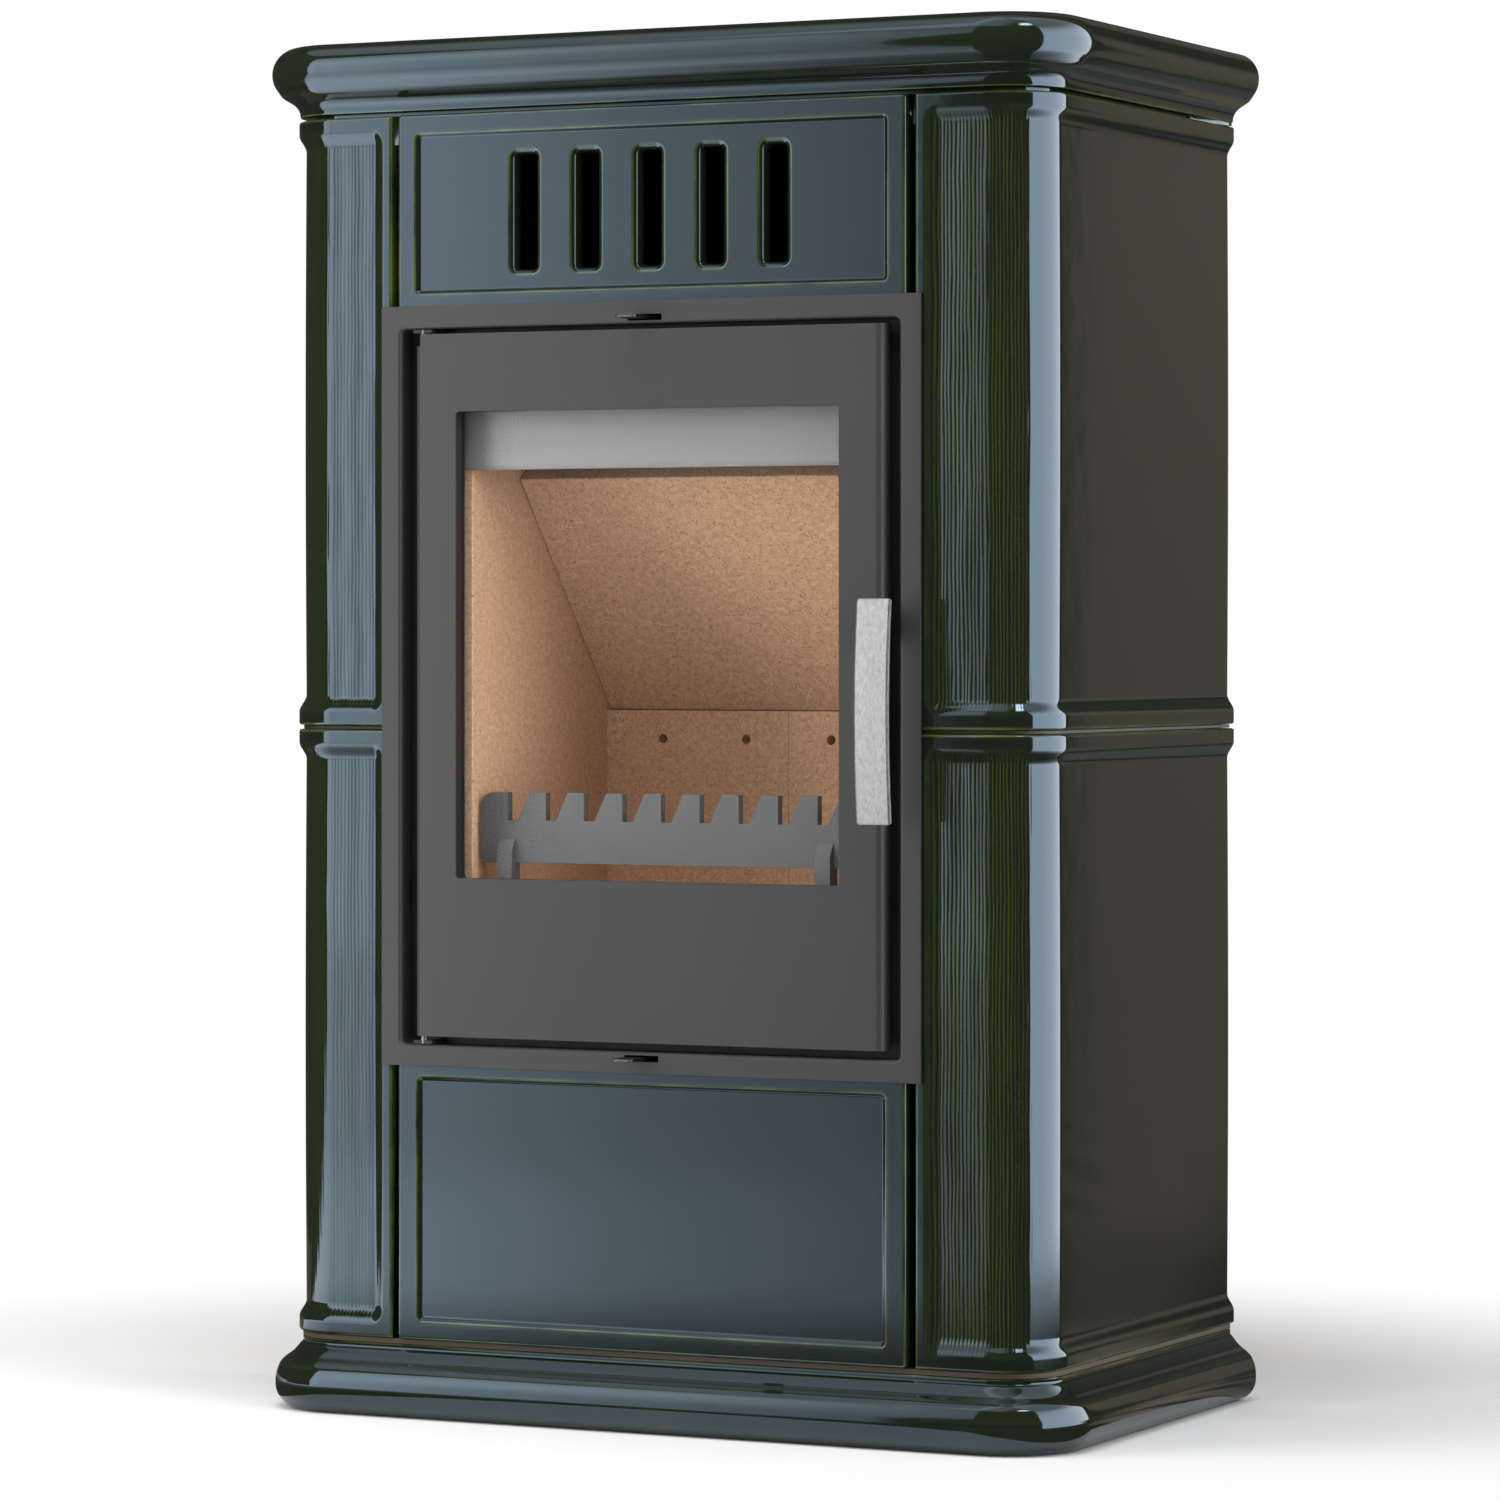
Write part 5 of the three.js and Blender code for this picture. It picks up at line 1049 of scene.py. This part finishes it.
class STOVE_OT_carcass(bpy.types.Operator):
    """Finish the sheet-metal carcass, the flue collar and the feet"""
    bl_idname = "stove.carcass"
    bl_label = "Make Carcass"

    def execute(self, context):
        edge = context.scene.stove_steel.edge_break
        feet = [f"levelling_foot_{place}_{side}" for place in ("front", "rear") for side in ("left", "right")]
        dress("zinc_sheet", edge, "side_panel_left", "side_panel_right", *feet)
        dress("black_paint", edge, "rear_panel", "top_cover", "flue_collar", "pedestal", "firebox_shell",
              "hearth_plate", "ash_runner_left", "ash_runner_right", "primary_air_duct", "secondary_air_duct",
              "rear_air_frame", "joint_rail_left", "joint_rail_right")
        dress("brown_strip", edge, "base_plate")
        cover_tape()
        return {"FINISHED"}


# ---------------------------------------------------------------- stage
LAMPS = {  # place, target, width, height and watts of each soft lamp
    "left_lamp": ((-0.95, -0.95, 0.75), (0, -0.17, 0.5), 0.7, 1.2, 15),
    "right_lamp": ((1.9, -0.85, 0.9), (-0.15, -0.10, 0.5), 0.8, 1.6, 22),
    "top_lamp": ((0.2, -1.3, 3.2), (0.1, -0.8, 0), 2.4, 2.0, 75),
}
ROOM_RADIUS, ROOM_HEIGHT = 6.0, 8.0
ROOM_MIDDLE = (0.27, -0.12)  # the point that the bearings of the softboxes are drawn round
FRONT_EDGES, RIGHT_EDGES, BACK_EDGES = (-37.6, -24.3), (66, 150), (165, 205)  # bearings, in degrees
DARK = 0.045
DRAPE = np.array([0.40, 0.33, 0.245])
FRONT_BOX = ([-38, -33, -31, -29.4, -27.1, -24.9, -24.5, -24.0],  # bearings across the front softbox,
             [3.3, 3.5, 3.1, 2.3, 1.40, 0.95, 0.85, 0.30])  # and its level at each


def area_light(name, location, target, size, size_y, watts):
    """A rectangular soft light that faces a target."""
    data = bpy.data.lights.new(name, "AREA")
    data.shape = "RECTANGLE"
    data.size, data.size_y, data.energy = size, size_y, watts
    light = bpy.data.objects.new(name, data)
    light.location = location
    direction = np.asarray(target, dtype=float) - np.asarray(location, dtype=float)
    yaw = math.atan2(direction[1], direction[0]) - math.pi / 2
    pitch = math.atan2(direction[2], math.hypot(direction[0], direction[1]))
    light.rotation_euler = (math.pi / 2 + pitch, 0, yaw)
    light.visible_glossy = False
    bpy.context.scene.collection.objects.link(light)


def window_of(value, start, end, soft):
    """1 between start and end, falling to 0 by a smooth step of a given width inside each end."""
    return smoothstep(value, start, start + soft) * (1 - smoothstep(value, end - soft, end))


def bearing(x, y, from_x, from_y):
    """Direction of a point in degrees, seen from another, from the front towards the right."""
    return np.degrees(np.arctan2(x - from_x, from_y - y))


def surround_radiance(points, floor_run, stage):
    """What the tiles and the steel mirror. A tall softbox stands front left and grows dimmer towards the
    middle, a second one stands on the right, then comes a warm drape, and a small spot hangs high on the
    right. Edges that one flat side mirrors are drawn as seen from the camera's mirror image in that side."""
    x, y, z = np.moveaxis(points, -1, 0)
    camera_x = stage.distance * math.sin(stage.azimuth)
    camera_y = AXIS_Y - stage.distance * math.cos(stage.azimuth)
    from_front = bearing(x, y, camera_x, 2 * FRONT_Y - camera_y)
    mirrored_x = 2 * HALF_WIDTH - camera_x
    from_side = bearing(x, y, mirrored_x, camera_y)
    side_start, side_full = (bearing(HALF_WIDTH, FRONT_Y + run, mirrored_x, camera_y)
                             for run in (0.012, 0.095))
    around = bearing(x, y, *ROOM_MIDDLE)
    on_floor, on_ceiling = z < 0.01, z > ROOM_HEIGHT - 0.1
    high = 1 - 0.75 * smoothstep(z, 3.0, 7.5)
    in_front = window_of(from_front, *FRONT_EDGES, 0.2) * (y < 0) * high * np.interp(from_front, *FRONT_BOX)
    in_front *= (1 - 0.2 * on_floor * smoothstep(floor_run, 1.3, 2.2)) * smoothstep(floor_run, 0.10, 0.80)
    at_right = 4.2 * window_of(around, *RIGHT_EDGES, 2.5) * high * smoothstep(floor_run, 0.30, 1.3)
    at_back = 0.15 * window_of(around, *BACK_EDGES, 3.0) * (1 - smoothstep(z, 1.5, 3.0))
    over = 0.9 * on_ceiling * (1 - smoothstep(y, -1.0, 3.0)) * (1 - smoothstep(x, 0.5, 3.0))
    spot = 14 * on_ceiling * (1 - smoothstep(np.hypot(x - 4.0, y + 2.9), 0.6, 1.2))
    low_drape = np.interp(floor_run, [0, 0.2, 0.45, 0.8, 1.3, 6], [1.6, 1.4, 0.35, 0.35, 0.57, 0.60])
    high_drape = np.interp(z, [0, 1.4, 3.0], [0.62, 0.84, 0.25])
    drape = smoothstep(from_side, side_start, side_full) * (1 - smoothstep(around, 160, 165)) * (y > 0)
    drape *= np.where(on_floor, low_drape, high_drape)
    pale = in_front + at_right + at_back + over
    dark = DARK * (1 - np.clip(pale + drape, 0, 1))
    return (dark + pale + spot)[..., None] + drape[..., None] * DRAPE


def studio_surround(stage):
    """The walls, floor cards and ceiling of the light tent as one bowl: a grid over azimuth and over a run
    that goes out along the floor, up the wall and in over the ceiling. It shows in gloss alone."""
    azimuth = np.linspace(-154, 206, 1441)
    hole, lift = 0.35, 1.5 * MM
    out = np.concatenate([np.linspace(0.0, 1.2, 16), np.linspace(1.5, ROOM_RADIUS - hole, 10)])
    wall = np.linspace(0.1, ROOM_HEIGHT, 20)
    over = np.linspace(ROOM_RADIUS - 1, 0.02, 8)
    radius = np.concatenate([hole + out, np.full(len(wall), ROOM_RADIUS), over])
    level = np.concatenate([np.full(len(out), lift), wall, np.full(len(over), ROOM_HEIGHT)])
    run = np.concatenate([out, np.full(len(wall) + len(over), ROOM_RADIUS)])
    turn, r = np.meshgrid(np.radians(azimuth), radius, indexing="ij")
    z, runs = np.broadcast_to(level, r.shape), np.broadcast_to(run, r.shape)
    points = np.stack([r * np.sin(turn), -r * np.cos(turn), z], axis=-1)
    piece = new_object("studio_surround", points, grid_quads(*r.shape).tolist())
    light = surround_radiance(points, runs, stage).reshape(-1, 3)
    layer = piece.data.attributes.new("radiance", "FLOAT_COLOR", "POINT")
    layer.data.foreach_set("color", np.hstack([light, np.ones((len(light), 1))]).astype(np.float32).ravel())
    material, tree = new_material("studio_surround")
    tree.nodes.remove(tree.nodes["Principled BSDF"])
    glow = add_node(tree, "ShaderNodeEmission", Color=attribute(tree, "radiance", "Color"), Strength=1.0)
    tree.links.new(glow.outputs[0], tree.nodes["Material Output"].inputs["Surface"])
    piece.data.materials.append(material)
    for ray in ("camera", "diffuse", "transmission", "volume_scatter", "shadow"):
        setattr(piece, f"visible_{ray}", False)


def seen_directly(tree):
    """1 for what the camera sees, in a mirror image or through glass too, and 0 for what only lights."""
    paths = tree.nodes.new("ShaderNodeLightPath").outputs
    mirrored = math_node(tree, "MAXIMUM", paths["Is Glossy Ray"], paths["Is Transmission Ray"])
    return math_node(tree, "MAXIMUM", paths["Is Camera Ray"], mirrored)


def floor_material(stage):
    """A pale floor that takes shadow near the stove and becomes plain white further out."""
    material, tree = new_material("pale_floor")
    shader = principled(tree, Base_Color=shade((0.80,) * 3), Roughness=0.7)
    flat = object_coordinates(tree, (1, 1, 0))
    radius = add_node(tree, "ShaderNodeVectorMath", {"operation": "LENGTH"}, i0=flat).outputs["Value"]
    far = ramp(tree, radius, stage.floor_near, stage.floor_far, "SMOOTHSTEP")
    factor = math_node(tree, "MULTIPLY", far, seen_directly(tree))
    white = add_node(tree, "ShaderNodeEmission", Color=WHITE, Strength=1.0)
    mixed = add_node(tree, "ShaderNodeMixShader", i0=factor, i1=shader.outputs[0], i2=white.outputs[0])
    tree.links.new(mixed.outputs[0], tree.nodes["Material Output"].inputs["Surface"])
    return material


def make_world():
    """White for what the camera, gloss and glass see, and a softer even light on surfaces."""
    world = bpy.data.worlds.new("studio")
    world.use_nodes = True
    tree = world.node_tree
    sky = mix_colour(tree, seen_directly(tree), (0.38, 0.38, 0.39, 1), WHITE)
    tree.links.new(sky, tree.nodes["Background"].inputs["Color"])
    bpy.context.scene.world = world


class STOVE_OT_stage(bpy.types.Operator):
    """Make the floor, the studio light and the camera"""
    bl_idname = "stove.stage"
    bl_label = "Make Stage"

    def execute(self, context):
        stage = context.scene.stove_stage
        reach = 40.0
        corners = [(-reach, -reach, 0), (reach, -reach, 0), (reach, reach, 0), (-reach, reach, 0)]
        floor = new_object("floor", corners, [[0, 1, 2, 3]])
        floor.data.materials.append(floor_material(stage))
        make_world()
        for name, lamp in LAMPS.items():
            area_light(name, *lamp)
        studio_surround(stage)
        camera = bpy.data.objects.new("camera", bpy.data.cameras.new("camera"))
        camera.data.lens = stage.lens
        camera.data.shift_y = stage.shift_y
        camera.data.clip_end = 100
        camera.location = (stage.distance * math.sin(stage.azimuth),
                           AXIS_Y - stage.distance * math.cos(stage.azimuth), stage.camera_height)
        camera.rotation_euler = (math.pi / 2, 0, stage.azimuth)
        context.scene.collection.objects.link(camera)
        context.scene.camera = camera
        context.scene.view_settings.view_transform = "Standard"
        return {"FINISHED"}


class STOVE_PT_panel(bpy.types.Panel):
    """The stove's operators in the sidebar"""
    bl_label = "Tiled Stove"
    bl_space_type = "VIEW_3D"
    bl_region_type = "UI"
    bl_category = "Stove"

    def draw(self, context):
        for operator in OPERATORS:
            self.layout.operator(operator.bl_idname)
        for group in (context.scene.stove_tiles, context.scene.stove_steel, context.scene.stove_colours,
                      context.scene.stove_stage):
            box = self.layout.box()
            for key in group.__annotations__:
                box.prop(group, key)


GROUPS = {"stove_tiles": StoveTileSizes, "stove_steel": StoveSteelSizes, "stove_colours": StoveColours,
          "stove_stage": StoveStage}
OPERATORS = (STOVE_OT_finishes, STOVE_OT_cornice_and_plinth, STOVE_OT_corner_tiles, STOVE_OT_front_tiles,
             STOVE_OT_steel_front, STOVE_OT_window, STOVE_OT_handle_and_slides, STOVE_OT_fire_chamber,
             STOVE_OT_carcass, STOVE_OT_stage)


def register():
    """Registers the classes and attaches the settings to the scene."""
    for cls in (*GROUPS.values(), *OPERATORS, STOVE_PT_panel):
        bpy.utils.register_class(cls)
    for name, group in GROUPS.items():
        setattr(bpy.types.Scene, name, bpy.props.PointerProperty(type=group))


def unregister():
    """Undoes register."""
    for name in GROUPS:
        delattr(bpy.types.Scene, name)
    for cls in reversed((*GROUPS.values(), *OPERATORS, STOVE_PT_panel)):
        bpy.utils.unregister_class(cls)


def main():
    """Builds the whole stove."""
    register()
    for operator in OPERATORS:
        area, name = operator.bl_idname.split(".")
        getattr(getattr(bpy.ops, area), name)()


if __name__ == "__main__":
    main()
